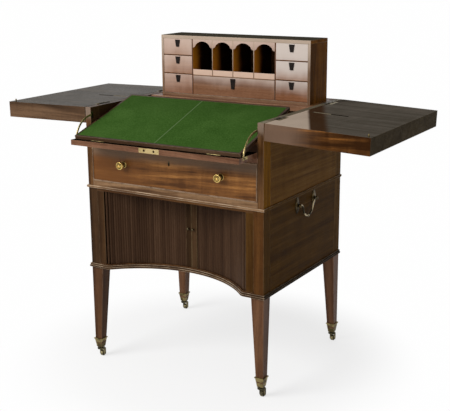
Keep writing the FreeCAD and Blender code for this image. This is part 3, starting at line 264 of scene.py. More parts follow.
# %% Sky
SKY_LEVEL = 0.42

sky = Finish("sky", bpy.data.worlds.new)
bpy.context.scene.world = sky.material
level = SKY_LEVEL + sky.seen_by_eye() * (1.0 - SKY_LEVEL)
backdrop = sky.add("ShaderNodeBackground", {}, {"Color": (1.0, 1.0, 1.0, 1.0), "Strength": level})
sky.add("ShaderNodeOutputWorld", {}, {"Surface": backdrop})
print("sky lights the desk at", SKY_LEVEL)

# %% Lamp
LAMP_PLACE = Vector((-1.7, -3.2, 2.9))
LAMP_TARGET = Vector((0.0, 0.0, 0.6))
LAMP_WIDTH = 2.6
LAMP_WATTS = 150.0

light = bpy.data.lights.new("key", "AREA")
light.shape = "DISK"
light.size = LAMP_WIDTH
light.energy = LAMP_WATTS
lamp = bpy.data.objects.new("key", light)
lamp.location = LAMP_PLACE
lamp.rotation_euler = (LAMP_TARGET - LAMP_PLACE).to_track_quat("-Z", "Y").to_euler()
bpy.context.scene.collection.objects.link(lamp)
bpy.context.scene.view_settings.view_transform = "Standard"
print("lamp of", LAMP_WATTS, "W,", LAMP_WIDTH, "m wide")

# %% [markdown]
# ## Timber
#
# Old mahogany has four scales of pattern: broad bands of darker growth, a cross figure that shimmers
# over a few centimetres, fine lines along the grain, and pores like short pencil strokes. Each is
# noise, stretched along the grain. The pattern doesn't come from where the piece stands but from an
# attribute that a later step writes on every board, so each board has its own grain, running the
# way a joiner would have laid it. Arrises are a little paler, partly where hands and dusters have worn
# them and partly as a painted highlight along each edge. A bloom changes the colour over part of a
# board, and most blooms are painted sheen, light and shade, noted where each is used: it fades in along
# a direction, from one distance to another, and its last two numbers are its strength and its climb up
# each board. An image of wood would be quicker to set up, but it repeats.

# %% Timber finish
def timber(name, dark, middle, light, worn_and_highlit, roughness, bands, figure, polish, wear=0.6, blooms=()):
    wood = Finish(name + "_wood")
    grain = wood.attribute("grain", "Vector")
    tone = wood.attribute("tone")
    arris = wood.attribute("wear")
    broad = wood.noise(wood.stretch(grain, (1.3, 17.0, 17.0)), 1.0, 3.0, 0.3)
    streak = wood.noise(wood.stretch(grain, (2.4, 62.0, 62.0)), 1.0, 2.0, 0.4)
    line = wood.noise(wood.stretch(grain, (5.0, 190.0, 190.0)), 1.0, 2.0)
    cross = wood.noise(wood.stretch(grain, (26.0, 7.0, 7.0)), 1.0, 2.0, 0.8)
    pore = wood.noise(wood.stretch(grain, (80.0, 1500.0, 1500.0)), 1.0, 1.0)
    bent = (broad - 0.5) * (1.3 * bands) + (streak - 0.5) * (1.1 * bands)
    shade = bent + (line - 0.5) * 0.6 + (cross - 0.5) * figure + tone * 0.2
    colour = wood.ramp(shade + 0.5, [(0.15, dark), (0.5, middle), (0.85, light)])
    pores = wood.step(pore, 0.56, 0.68)
    colour = wood.mix(pores * 0.45, colour, tuple(0.45 * c for c in dark))
    # Blooms: most of them paint sheen, light or shade over part of a board.
    for paler, along, low, high, most, climb in blooms:
        inputs = {0: wood.place(), 1: along}
        reach = wood.add("ShaderNodeVectorMath", {"operation": "DOT_PRODUCT"}, inputs, "Value")
        drift = (wood.noise(wood.place(), 14.0, 2.0) - 0.5) * 0.45 + (cross - 0.5) * 0.3
        bloom_share = wood.step(reach, low, high, 0.0, most) + (wood.attribute("rise") - 0.5) * climb
        colour = wood.mix(wood.step(bloom_share + drift * most, 0.0, 1.0), colour, paler)
    # Arrises are paled, partly as wear and partly as a painted highlight along the edge.
    arris_patches = wood.step(wood.noise(wood.place(), 35.0, 3.0), 0.35, 0.6)
    colour = wood.mix(arris * (0.35 + arris_patches * 0.65) * wear, colour, worn_and_highlit)
    smudge = wood.noise(wood.place(), 9.0, 3.0)
    sheen = roughness - 0.06 + smudge * 0.12 + pores * 0.12
    relief = line * 0.35 - pores * 0.6
    return wood.surface(colour, sheen, relief, 0.00012, Specular_IOR_Level=polish)


# %% [markdown]
# ## The desk's timbers
#
# No two boards of an old desk have aged alike, but many of the timbers here are lighter and darker
# copies of one mahogany, set face by face to how the light falls, so that they are painted light,
# sheen and shade, as noted where each is used. So every group of faces has a timber of its own, given
# by three colours of its grain from dark to light, that of its worn and highlit arrises, roughness,
# strength of bands and of cross figure, polish and strength of the arris paling. One shared timber
# couldn't make one board redder than the next.

# %% Directions in which the blooms fade in
UPWARD = (0.0, 0.0, 1.0)
OUTWARD = (0.0, -1.0, 0.0)
LEFTWARD = (-1.0, 0.0, 0.0)
FROM_HINGE = (-1.0, -0.277, 0.0)
FROM_SEAM = (-0.89, -0.45, 0.0)
NEST_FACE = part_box("nest_partitions")[0].y
print("front of the nest at y", round(NEST_FACE, 4))

# %% Timbers of drawer, posts and legs
# The drawer's first bloom darkens it towards its left end, and its second, a greyish band along its top, is
# painted sheen.
DRAWER_WOOD = timber(
    "drawer", (0.076, 0.027, 0.006), (0.212, 0.084, 0.021), (0.420, 0.186, 0.050),
    (0.26, 0.14, 0.06), 0.32, 1.15, 0.45, 0.12,
    blooms=[((0.125, 0.044, 0.009), LEFTWARD, 0.02, 0.20, 0.75, 0.0),
            ((0.150, 0.098, 0.062), UPWARD, 0.672, 0.706, 0.72, 0.0)],
)
CASE_WOOD = timber(
    "case", (0.039, 0.013, 0.002), (0.084, 0.034, 0.009), (0.144, 0.062, 0.018),
    (0.24, 0.14, 0.08), 0.34, 1.0, 0.3, 0.08,
)
FRONT_POST_WOOD = timber(
    "front_post", (0.044, 0.016, 0.003), (0.094, 0.041, 0.013), (0.161, 0.075, 0.026),
    (0.24, 0.14, 0.08), 0.34, 1.0, 0.3, 0.08,
    blooms=[((0.200, 0.142, 0.105), UPWARD, 0.790, 0.822, 0.85, 0.0)],
)
LOWER_POST_WOOD = timber(
    "lower_post", (0.030, 0.0092, 0.0010), (0.064, 0.0235, 0.0046), (0.110, 0.043, 0.0095),
    (0.20, 0.11, 0.05), 0.36, 1.0, 0.3, 0.06,
)
LEFT_POST_WOOD = timber(
    "left_post", (0.019, 0.008, 0.003), (0.040, 0.019, 0.007), (0.066, 0.031, 0.013),
    (0.14, 0.09, 0.05), 0.36, 0.9, 0.3, 0.05,
)
POST_SIDE_WOOD = timber(
    "post_side", (0.087, 0.034, 0.002), (0.167, 0.068, 0.003), (0.261, 0.112, 0.008),
    (0.26, 0.17, 0.08), 0.40, 1.0, 0.3, 0.01,
)
LEG_WOOD = timber(
    "leg", (0.048, 0.018, 0.008), (0.096, 0.041, 0.019), (0.155, 0.072, 0.034),
    (0.26, 0.15, 0.09), 0.34, 1.0, 0.3, 0.08,
)
BACK_LEG_WOOD = timber(
    "back_leg", (0.060, 0.023, 0.010), (0.120, 0.052, 0.025), (0.194, 0.091, 0.044),
    (0.30, 0.18, 0.11), 0.34, 1.0, 0.3, 0.08,
)
LEFT_LEG_WOOD = timber(
    "left_leg", (0.034, 0.012, 0.0045), (0.067, 0.029, 0.012), (0.110, 0.049, 0.021),
    (0.22, 0.13, 0.08), 0.34, 1.0, 0.3, 0.06,
)

# %% Timbers of front, sides and mouldings
FALL_WOOD = timber(
    "fall", (0.085, 0.034, 0.016), (0.168, 0.077, 0.041), (0.280, 0.140, 0.078),
    (0.40, 0.25, 0.15), 0.34, 1.2, 0.3, 0.10, 0.75,
)
STILE_WOOD = timber(
    "stile", (0.020, 0.0086, 0.0029), (0.0386, 0.0172, 0.0065), (0.064, 0.031, 0.0115),
    (0.12, 0.08, 0.05), 0.38, 1.0, 0.3, 0.04,
)
RIGHT_STILE_WOOD = timber(
    "right_stile", (0.026, 0.010, 0.002), (0.048, 0.0195, 0.0040), (0.078, 0.035, 0.0075),
    (0.14, 0.09, 0.04), 0.38, 1.0, 0.3, 0.03,
)
SIDE_WOOD = timber(
    "side", (0.032, 0.012, 0.001), (0.064, 0.028, 0.003), (0.105, 0.050, 0.010),
    (0.20, 0.13, 0.07), 0.40, 0.7, 0.4, 0.01,
)
UPPER_SIDE_WOOD = timber(
    "upper_side", (0.082, 0.035, 0.005), (0.149, 0.070, 0.015), (0.234, 0.123, 0.037),
    (0.38, 0.27, 0.16), 0.40, 0.6, 0.4, 0.01, 0.9,
)
MOULDING_WOOD = timber(
    "moulding", (0.066, 0.029, 0.012), (0.140, 0.072, 0.032), (0.245, 0.140, 0.070),
    (0.50, 0.37, 0.25), 0.34, 1.4, 0.45, 0.10, 0.9,
)
DARK_MOULDING_WOOD = timber(
    "dark_moulding", (0.041, 0.020, 0.009), (0.078, 0.041, 0.018), (0.149, 0.081, 0.039),
    (0.50, 0.38, 0.26), 0.34, 0.8, 0.2, 0.06, 0.95,
)
SIDE_MOULDING_WOOD = timber(
    "side_moulding", (0.012, 0.007, 0.003), (0.024, 0.014, 0.007), (0.044, 0.026, 0.013),
    (0.13, 0.095, 0.06), 0.40, 0.8, 0.2, 0.01, 0.7,
)
RIM_WOOD = timber(
    "rim", (0.105, 0.086, 0.055), (0.170, 0.143, 0.095), (0.240, 0.205, 0.145),
    (0.30, 0.25, 0.18), 0.40, 0.9, 0.4, 0.01, 0.7,
)
BEAD_WOOD = timber(
    "bead", (0.050, 0.021, 0.009), (0.105, 0.048, 0.021), (0.175, 0.088, 0.042),
    (0.46, 0.33, 0.22), 0.34, 0.8, 0.2, 0.10, 0.85,
)


def shaded(share, colours):
    return [tuple(share * c for c in colour) for colour in colours]


# The left curtain is a brighter copy of the right one's timber: painted light, as the concave front turns it
# away from the lamp.
TAMBOUR_COLOURS = (0.026, 0.01248, 0.0065), (0.042, 0.021, 0.01092), (0.060, 0.0318, 0.0174)
TAMBOUR_WOODS = {hand: timber(
    f"{hand}_tambour", *shaded(share, TAMBOUR_COLOURS), (0.12, 0.07, 0.04), 0.44, 0.32, 0.15, 0.04,
) for hand, share in (("left", 1.25), ("right", 1.12))}
LEAD_WOOD = timber(
    "lead_stile", (0.029, 0.014, 0.006), (0.049, 0.025, 0.010), (0.074, 0.039, 0.018),
    (0.22, 0.15, 0.08), 0.40, 0.9, 0.2, 0.03, 0.8,
)

# %% Timbers of lids and slope
LEFT_LID_WOOD = timber(
    "left_lid", (0.018, 0.012, 0.006), (0.030, 0.021, 0.011), (0.053, 0.038, 0.021),
    (0.16, 0.12, 0.08), 0.34, 0.9, 0.3, 0.02,
)
# The right lid's greyish colour is painted sheen. Its blooms are painted reflection, a pale patch by the
# hinges and darker wood beyond it, and the last makes it warmer towards its front.
RIGHT_LID_WOOD = timber(
    "right_lid", (0.078, 0.066, 0.050), (0.106, 0.091, 0.073), (0.140, 0.121, 0.098),
    (0.24, 0.18, 0.12), 0.32, 0.9, 0.3, 0.0,
    blooms=[((0.046, 0.022, 0.010), FROM_SEAM, -0.376, -0.346, 0.9, 0.0),
            ((0.460, 0.365, 0.285), FROM_SEAM, -0.318, -0.304, 0.85, 0.0),
            ((0.190, 0.105, 0.060), OUTWARD, 0.205, 0.268, 0.8, 0.0)],
)
LEFT_EDGE_WOOD = timber(
    "left_edge", (0.034, 0.017, 0.007), (0.076, 0.039, 0.019), (0.132, 0.073, 0.038),
    (0.26, 0.18, 0.11), 0.34, 1.3, 0.3, 0.08,
)
RIGHT_EDGE_WOOD = timber(
    "right_edge", (0.034, 0.012, 0.003), (0.097, 0.037, 0.009), (0.371, 0.139, 0.027),
    (0.24, 0.16, 0.09), 0.32, 1.5, 0.6, 0.02,
    blooms=[((0.165, 0.102, 0.068), FROM_HINGE, -0.46, -0.30, 0.8, 0.0)],
)
END_WOOD = timber(
    "end", (0.032, 0.022, 0.011), (0.061, 0.045, 0.025), (0.105, 0.080, 0.048),
    (0.20, 0.16, 0.11), 0.38, 0.5, 0.2, 0.003, 0.8,
)
TOP_WOOD = timber(
    "top", (0.050, 0.019, 0.006), (0.105, 0.047, 0.018), (0.180, 0.086, 0.036),
    (0.26, 0.16, 0.09), 0.32, 1.0, 0.3, 0.08,
)
NEST_TOP_WOOD = timber(
    "nest_top", (0.030, 0.026, 0.018), (0.052, 0.046, 0.033), (0.084, 0.072, 0.052),
    (0.30, 0.25, 0.18), 0.38, 0.6, 0.2, 0.0, 0.8,
)
SLOPE_WOOD = timber(
    "slope", (0.026, 0.012, 0.006), (0.046, 0.023, 0.011), (0.080, 0.042, 0.021),
    (0.20, 0.13, 0.08), 0.34, 0.9, 0.3, 0.06,
)
SLOPE_EDGE_WOOD = timber(
    "slope_edge", (0.072, 0.038, 0.020), (0.128, 0.074, 0.042), (0.210, 0.128, 0.078),
    (0.30, 0.22, 0.14), 0.36, 1.3, 0.4, 0.04, 0.9,
)

# %% Timbers of the nest and the inside
# The nest fronts are brighter and darker copies of one timber, each with a bloom that pales it towards the
# top: painted sheen.
NEST_COLOURS = (0.150, 0.058, 0.024), (0.225, 0.098, 0.048), (0.305, 0.150, 0.080), (0.52, 0.40, 0.32)
NEST_FRONT_WOODS = {part: timber(
    f"{part}_nest", *shaded(share, NEST_COLOURS), 0.34, 0.9, 0.4, 0.08, blooms=[bloom],
) for part, share, bloom in (
    ("left", 1.22, ((0.57, 0.42, 0.345), UPWARD, 0.64, 1.12, 0.85, 0.35)),
    ("right", 1.25, ((0.64, 0.55, 0.492), UPWARD, 0.815, 0.99, 1.0, 0.45)),
    ("centre", 0.86, ((0.58, 0.46, 0.39), UPWARD, 0.83, 1.02, 0.95, 0.7)),
    ("lip", 1.1, ((0.68, 0.48, 0.365), UPWARD, 0.70, 0.90, 0.95, 0.1)),
)}
# The nest's front edges pale towards the top: painted sheen.
NEST_EDGE_WOOD = timber(
    "nest_edge", (0.150, 0.078, 0.040), (0.240, 0.135, 0.078), (0.330, 0.205, 0.130),
    (0.56, 0.44, 0.33), 0.36, 0.8, 0.3, 0.08,
    blooms=[((0.48, 0.37, 0.285), UPWARD, 0.88, 1.04, 0.9, 0.0)],
)
NEST_BACK_WOOD = timber(
    "nest_back", (0.060, 0.026, 0.008), (0.105, 0.048, 0.016), (0.160, 0.078, 0.028),
    (0.40, 0.24, 0.10), 0.50, 0.9, 0.3, 0.0,
)
BLADE_WOOD = timber(
    "blade", (0.034, 0.012, 0.005), (0.070, 0.028, 0.013), (0.115, 0.050, 0.026),
    (0.18, 0.10, 0.06), 0.38, 0.8, 0.3, 0.06,
)
NEST_SIDE_WOOD = timber(
    "nest_side", (0.076, 0.026, 0.001), (0.150, 0.054, 0.004), (0.245, 0.098, 0.014),
    (0.22, 0.13, 0.07), 0.40, 1.0, 0.4, 0.01,
)
# The dividers are almost black, with an amber bloom towards their front edges: painted light falling into
# the pigeonholes.
PARTITION_WOOD = timber(
    "partition", (0.011, 0.0030, 0.0006), (0.019, 0.0052, 0.0010), (0.032, 0.0100, 0.0018),
    (0.40, 0.24, 0.10), 0.42, 0.9, 0.3, 0.0,
    blooms=[((0.760, 0.285, 0.022), OUTWARD, -NEST_FACE - 0.066, -NEST_FACE - 0.008, 0.95, 0.0)],
)
INNER_WOOD = timber(
    "inner", (0.190, 0.115, 0.058), (0.290, 0.190, 0.105), (0.380, 0.265, 0.160),
    (0.42, 0.31, 0.20), 0.58, 1.0, 0.3, 0.15, 0.2,
)
# Near-black painted shade, put in the keyhole, the lid slots, the lids' arrises by their hinges and the top
# of the drop front.
SHADE_WOOD = timber(
    "slot", (0.003, 0.002, 0.001), (0.006, 0.004, 0.002), (0.012, 0.007, 0.004),
    (0.03, 0.02, 0.01), 0.70, 0.8, 0.3, 0.0, 0.3,
)
print("timbers:", sum(m.name.endswith("_wood") for m in bpy.data.materials))

# %% [markdown]
# ## Brass, horn and cloth
#
# Brass is a metal, so its colour tints what it reflects. The knobs and the lock are polished and
# only slightly smudged. The casters and side handles have tarnished to olive brown, brightest where
# they are touched; the bright patches on the bails are painted highlights as well. The drawer tabs are
# finished as dark horn, cloudy and dull. Baize is the opposite of a metal: it has no gloss, a fine
# speckle of wool fibre and broad patches where the nap lies differently. The seam down its middle is
# too low for the mesh, so colour and relief draw it.

# %% Brass finishes
def brass(name, bright, dull, tarnish, roughness):
    metal = Finish(name)
    place = metal.place()
    patch = metal.noise(place, 42.0, 4.0, 0.4)
    speck = metal.noise(place, 420.0, 2.0)
    arris = metal.attribute("wear")
    cover = metal.step(patch + (speck - 0.5) * 0.35 - arris * 0.12, 0.62 - tarnish, 0.80 - tarnish)
    colour = metal.mix(cover, bright, dull)
    # Grime darkens the hollows; on the knob necks it also paints the shade under the head.
    grime = metal.attribute("grime")
    colour = metal.mix(grime * (0.75 + patch * 0.4), colour, tuple(0.12 * c for c in dull))
    sheen = roughness + cover * 0.22 + grime * 0.25 + (speck - 0.5) * 0.08
    return metal.surface(colour, sheen, speck * 0.3 + patch * 0.2, 0.00008, Metallic=1.0)


POLISHED_BRASS = brass("polished_brass", (0.66, 0.46, 0.15), (0.34, 0.22, 0.06), 0.06, 0.20)
LOCK_BRASS = brass("lock_brass", (0.52, 0.40, 0.19), (0.30, 0.22, 0.09), 0.10, 0.34)
STAY_BRASS = brass("stay_brass", (0.36, 0.28, 0.12), (0.12, 0.09, 0.035), 0.18, 0.36)
OLD_BRASS = brass("old_brass", (0.25, 0.195, 0.085), (0.080, 0.060, 0.026), 0.22, 0.38)
DARK_BRASS = brass("dark_brass", (0.110, 0.086, 0.046), (0.018, 0.014, 0.008), 0.26, 0.32)
# The bails' bright patches among near-black tarnish are painted highlights as well as brass rubbed by hands.
BAIL_BRASS = brass("bail_brass", (0.340, 0.270, 0.160), (0.026, 0.021, 0.011), 0.20, 0.28)
BLACK_BRASS = brass("black_brass", (0.092, 0.064, 0.026), (0.020, 0.013, 0.006), 0.24, 0.40)
CASTER_BRASS = brass("caster_brass", (0.190, 0.160, 0.085), (0.045, 0.040, 0.024), 0.24, 0.42)

# %% Horn tabs
horn = Finish("dark_horn")
horn_cloud = horn.noise(horn.place(), 160.0, 3.0, 0.6)
horn_colour = horn.ramp(horn_cloud, [(0.35, (0.004, 0.003, 0.003)), (0.7, (0.022, 0.014, 0.010))])
HORN = horn.surface(horn_colour, 0.34 + horn_cloud * 0.15, horn_cloud, 0.0001, Specular_IOR_Level=0.10)

# %% Green baize
SEAM_FRONT = Vector((0.0, -0.30))
SEAM_BACK = Vector((-0.012, -0.01))

baize = Finish("green_baize")
baize_place = baize.place()
axes = baize.add("ShaderNodeSeparateXYZ", {}, {0: baize_place}).socket.node.outputs
across = Value(baize, axes["X"])
along = Value(baize, axes["Y"])
lean = (SEAM_BACK.x - SEAM_FRONT.x) / (SEAM_BACK.y - SEAM_FRONT.y)
off_seam = abs(across - SEAM_FRONT.x - (along - SEAM_FRONT.y) * lean)
seam = baize.step(off_seam, 0.0006, 0.0022, 1.0, 0.0)
fibre = baize.noise(baize_place, 1400.0, 2.0)
nap = baize.noise(baize_place, 240.0, 3.0)
patch = baize.noise(baize_place, 7.0, 3.0, 0.5)
baize_shade = (fibre - 0.5) * 0.9 + (nap - 0.5) * 0.9 + (patch - 0.5) * 0.7 + 0.5
greens = [(0.2, (0.020, 0.056, 0.007)), (0.5, (0.036, 0.086, 0.014)), (0.8, (0.058, 0.122, 0.025))]
green = baize.ramp(baize_shade, greens)
# Towards the back the cloth darkens: painted shadow of the nest.
nest_shadow = baize.step(along, -0.17, -0.04, 0.0, 0.26)
green = baize.mix(nest_shadow, green, (0.011, 0.026, 0.004))
green = baize.mix(seam * 0.55, green, (0.16, 0.22, 0.11))
BAIZE = baize.surface(
    green, 0.97 - nap * 0.04, fibre * 0.5 + nap * 0.5 + seam * 0.4, 0.0004, Specular_IOR_Level=0.02
)

# %% [markdown]
# ## From solid to joiner's piece
#
# A frame node arrives as loose triangles, and one node may hold several boards. A copy is taken for
# each board: the triangles of a closed solid follow each other in the list, so a board ends where no
# edge is left open. Its doubles are merged, flat areas are dissolved back to single faces, and the
# sharp edges are bevelled, because no real arris is perfectly sharp and it is the narrow highlight
# there that makes a board read as wood. A bevel modifier would do that too, but here the bevel's own
# faces are also marked for wear and a painted highlight, and each board gets its own grain.
# Where one board needs several finishes, a small function names that of each face. With only two, it
# says whether a face takes the second.

# %% Split a node into its boards
def boards_of(node):
    mesh = frame["nodes"][node].data
    keys = [tuple(round(c * 1e6) for c in vertex.co) for vertex in mesh.vertices]
    open_edges = set()
    boards = [set()]
    for face in mesh.polygons:
        boards[-1].add(face.index)
        corners = [keys[v] for v in face.vertices]
        for edge in zip(corners, corners[1:] + corners[:1]):
            if edge[::-1] in open_edges:
                open_edges.remove(edge[::-1])
            else:
                open_edges.add(edge)
        if not open_edges:
            boards.append(set())
    return [board for board in boards if board]


# %% Clean one board
DOUBLES = 2e-6
FLAT = math.radians(0.4)


def clean_board(node, faces):
    board = bmesh.new()
    board.from_mesh(frame["nodes"][node].data)
    board.faces.ensure_lookup_table()
    unwanted = [face for face in board.faces if face.index not in faces]
    bmesh.ops.delete(board, geom=unwanted, context="FACES")
    bmesh.ops.remove_doubles(board, verts=board.verts, dist=DOUBLES)
    bmesh.ops.dissolve_limit(
        board, angle_limit=FLAT, verts=board.verts, edges=board.edges, use_dissolve_boundaries=False,
    )
    return board


# %% Ease a board's arrises
CURVE = math.radians(0.5)
ARRIS = math.radians(31)


def ease(board, edge, segments):
    wear = board.faces.layers.float.new("wear")
    for face in board.faces:
        bends = [e.calc_face_angle(0.0) for e in face.edges]
        face.smooth = any(CURVE < bend < ARRIS for bend in bends)
    if edge:
        sharp = [e for e in board.edges if e.is_manifold and e.calc_face_angle_signed(0.0) > ARRIS]
        made = bmesh.ops.bevel(
            board, geom=sharp, offset=edge, offset_type="OFFSET", affect="EDGES", segments=segments,
            profile=0.5, material=-1, clamp_overlap=True,
        )
        for face in made["faces"]:
            face.smooth = True
            face[wear] = 1.0
    for e in board.edges:
        e.smooth = e.calc_face_angle(0.0) < ARRIS


# %% Lay the grain
GRAIN_SEED = 1807
GRAIN_LEAN = 0.06
GRAIN_SHIFT = 9.0

chance = random.Random(GRAIN_SEED)


def lay_grain(board, direction):
    grain = board.verts.layers.float_vector.new("grain")
    tone = board.faces.layers.float.new("tone")
    if direction is None:
        spans = [max(v.co[i] for v in board.verts) - min(v.co[i] for v in board.verts) for i in range(3)]
        direction = "xyz"[spans.index(max(spans))]
    first = "xyz".index(direction)
    order = (first, (first + 1) % 3, (first + 2) % 3)
    offset = [chance.uniform(-GRAIN_SHIFT, GRAIN_SHIFT) for i in range(3)]
    lean = chance.uniform(-GRAIN_LEAN, GRAIN_LEAN)
    shade = chance.uniform(-1.0, 1.0)
    rise = board.verts.layers.float.new("rise")
    bottom = min(v.co.z for v in board.verts)
    tall = max(v.co.z for v in board.verts) - bottom
    for vertex in board.verts:
        place = [vertex.co[i] + offset[k] for k, i in enumerate(order)]
        vertex[grain] = (place[0], place[1] + lean * place[0], place[2] + lean * place[0])
        vertex[rise] = (vertex.co.z - bottom) / tall
    for face in board.faces:
        face[tone] = shade


# %% Put pieces into the scene
def add_to(whole, board):
    part = bpy.data.meshes.new("part")
    board.to_mesh(part)
    board.free()
    whole.from_mesh(part)
    bpy.data.meshes.remove(part)


def finish_piece(name, bm, body, finishes):
    mesh = bpy.data.meshes.new(name)
    bm.to_mesh(mesh)
    bm.free()
    for material in finishes:
        mesh.materials.append(material)
    piece = bpy.data.objects.new(name, mesh)
    bpy.context.scene.collection.objects.link(piece)
    if body is not None:
        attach(piece, body)
    return piece


def blank():
    bm = bmesh.new()
    for name in ("wear", "tone", "grime"):
        bm.faces.layers.float.new(name)
    bm.verts.layers.float_vector.new("grain")
    bm.verts.layers.float.new("rise")
    return bm


def body_of(node):
    return frame["nodes"][node]["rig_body"]


# %% Dress a node
def dress(
    node, finishes, slot, edge=0.0008, grain=None, segments=2, choose=None, shape=None, ride=True,
    share=slice(None), name=None,
):
    whole = blank()
    boards = boards_of(node)[share]
    if not isinstance(finishes, dict):
        finishes = dict(enumerate(finishes if isinstance(finishes, list) else [finishes]))
    names = list(finishes)
    for index, faces in enumerate(boards):
        board = clean_board(node, faces)
        if shape:
            shape(board, index)
        ease(board, edge, segments)
        lay_grain(board, grain[index % len(grain)] if grain else None)
        if choose:
            for face in board.faces:
                face.material_index = names.index(choose(face, index))
        add_to(whole, board)
    body = body_of(node) if ride else None
    piece = finish_piece(name or node + "_piece", whole, body, finishes.values())
    if name is None:
        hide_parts(node)
    print(piece.name, "boards", len(boards), "faces", len(piece.data.polygons))
    return piece


# %% [markdown]
# ## The carcass
#
# The case is frame and board: square posts that run down into tapering legs, sides of solid
# mahogany with the grain front to back, rails above and below the long drawer, and mouldings at the
# waist and the base. The grain of posts and legs stands upright, and that of the rails lies across.
# A post and its leg are one square of timber. Its faces are cut level at the waist and the base, so
# that each length can have a finish of its own without a seam.

# %% Posts and legs
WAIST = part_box("waist_moulding")[0].z
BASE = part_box("base_moulding")[0].z
RIM_HEIGHT = 0.83
RIGHT_END = 0.3
FACING = 0.7


def on_rim(face):
    return face.normal.z > FACING and face.calc_center_median().z > RIM_HEIGHT


def cut_level(board, height):
    geometry = board.verts[:] + board.edges[:] + board.faces[:]
    bmesh.ops.bisect_plane(board, geom=geometry, plane_co=(0, 0, height), plane_no=(0, 0, 1), dist=1e-6)


def cut_post(board, index):
    cut_level(board, WAIST)
    cut_level(board, BASE)


# The front left leg, the left posts below the waist, and the top and inward faces of the left posts take
# darker timbers: painted shade.
def post_finish(face, index):
    middle = face.calc_center_median()
    if middle.z < BASE and middle.x > 0:
        return "back_leg" if middle.y > 0 else "leg"
    if middle.z < BASE:
        return "leg" if middle.y > 0 else "left_leg"
    if middle.x < 0 and middle.z < WAIST:
        return "left_post"
    if face.normal.x > 0.5 and middle.x > RIGHT_END:
        return "post_side" if middle.z > WAIST and middle.y < 0 else "side"
    if on_rim(face):
        return "rim" if middle.x > 0 else "left_post"
    if middle.x < 0 and face.normal.x > FACING:
        return "left_post"
    return "post" if middle.z > WAIST else "lower_post"


POST_WOODS = {
    "leg": LEG_WOOD, "post_side": POST_SIDE_WOOD, "side": SIDE_WOOD, "left_post": LEFT_POST_WOOD,
    "left_leg": LEFT_LEG_WOOD, "lower_post": LOWER_POST_WOOD, "rim": RIM_WOOD, "back_leg": BACK_LEG_WOOD,
}
for node, post_wood, slot in (
    ("legs_front", FRONT_POST_WOOD, "mahogany"),
    ("legs_back", CASE_WOOD, "dark_mahogany"),
):
    dress(node, {"post": post_wood, **POST_WOODS}, slot, 0.0012, "z", 2, post_finish, cut_post)

# %% Sides
# The left side's inward face and its top take the dark stile timber: painted shade.
def side_finish(face, index):
    middle = face.calc_center_median()
    if on_rim(face):
        return "rim" if middle.x > 0 else "inner"
    if middle.x < 0 and face.normal.x > FACING:
        return "inner"
    return "upper" if middle.z > WAIST else "lower"


def cut_side(board, index):
    cut_level(board, WAIST)


for node, lower, upper in (
    ("side_left", CASE_WOOD, CASE_WOOD),
    ("side_right", SIDE_WOOD, UPPER_SIDE_WOOD),
):
    woods = {"lower": lower, "upper": upper, "inner": STILE_WOOD, "rim": RIM_WOOD}
    dress(node, woods, "mahogany", 0.0008, "y", choose=side_finish, shape=cut_side)

# %% Rails, stiles and boards
RAILS_MIDDLE = 0.65


def on_lower_rail(face, index):
    return face.calc_center_median().z < RAILS_MIDDLE


def on_right(face, index):
    return face.calc_center_median().x > 0


dress("drawer_rails", [FALL_WOOD, MOULDING_WOOD], "mahogany", 0.0008, "x", 2, on_lower_rail)
# The left stile takes a darker timber than the right: painted shade.
dress("front_stiles", [STILE_WOOD, RIGHT_STILE_WOOD], "mahogany", 0.0010, "z", choose=on_right)
for node in ("base_board", "dust_board"):
    dress(node, CASE_WOOD, "mahogany", 0.0006, "x")

# %% Mouldings and hidden boards
def faces_right(face, index):
    return face.normal.x > FACING


# Faces of the mouldings that turn right take darker timbers: painted shade.
dress("base_moulding", [DARK_MOULDING_WOOD, SIDE_MOULDING_WOOD], "mahogany", 0.0014, "x", 3, faces_right)
dress("waist_moulding", [MOULDING_WOOD, SIDE_WOOD], "mahogany", 0.0018, "x", 3, faces_right)
for inner in ("drawer_runners", "back_panel", "well_floor", "well_wall", "nest_guides"):
    dress(inner, INNER_WOOD if inner == "drawer_runners" else CASE_WOOD, "oak", 0.0005)
dress("deck_rails", FALL_WOOD, "mahogany", 0.0008, "x")

# %% [markdown]
# ## The long drawer
#
# The drawer front is the brightest board of the desk, edged with a thin cock beading that stands
# proud to protect the veneer. Behind it is a plain box. Its two brass knobs are turned, so they are
# made as a turner makes them: a profile spun about its axis. The keyhole's walls have painted shade,
# and a small plate of dark brass covers its mouth.

# %% Drawer
DRAWER_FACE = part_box("main_drawer_front")[0].y
KEYHOLE_REACH = 0.02
KEYHOLE_HEIGHTS = (0.62, 0.715)


# The keyhole's walls take painted shade.
def in_keyhole(face, index):
    middle = face.calc_center_median()
    inward = abs(face.normal.x) > 0.5 or abs(face.normal.z) > 0.5 or middle.y > DRAWER_FACE + 0.001
    near = abs(middle.x) < KEYHOLE_REACH and KEYHOLE_HEIGHTS[0] < middle.z < KEYHOLE_HEIGHTS[1]
    return inward and near


dress("main_drawer_front", [DRAWER_WOOD, SHADE_WOOD], "drawer_wood", 0.0006, "x", choose=in_keyhole)
dress("main_drawer_beading", BEAD_WOOD, "drawer_wood", 0.0012, "x", 3)
dress("main_drawer_box", INNER_WOOD, "oak", 0.0006)

# %% Keyhole plate
LINER_SIZE = (0.0062, 0.0006, 0.0130)
LINER_PLACE = (-0.0065, DRAWER_FACE - 0.0001, 0.6905)

liner = blank()
bmesh.ops.create_cube(liner, size=1.0)
liner_matrix = Matrix.Translation(LINER_PLACE) @ Matrix.Diagonal((*LINER_SIZE, 1.0))
bmesh.ops.transform(liner, matrix=liner_matrix, verts=liner.verts)
bmesh.ops.bevel(
    liner, geom=liner.edges[:], offset=0.0002, offset_type="OFFSET", affect="EDGES", segments=2,
    profile=0.5, material=-1,
)
finish_piece("keyhole_liner", liner, "main_drawer", [DARK_BRASS])
print("keyhole plate", LINER_SIZE)

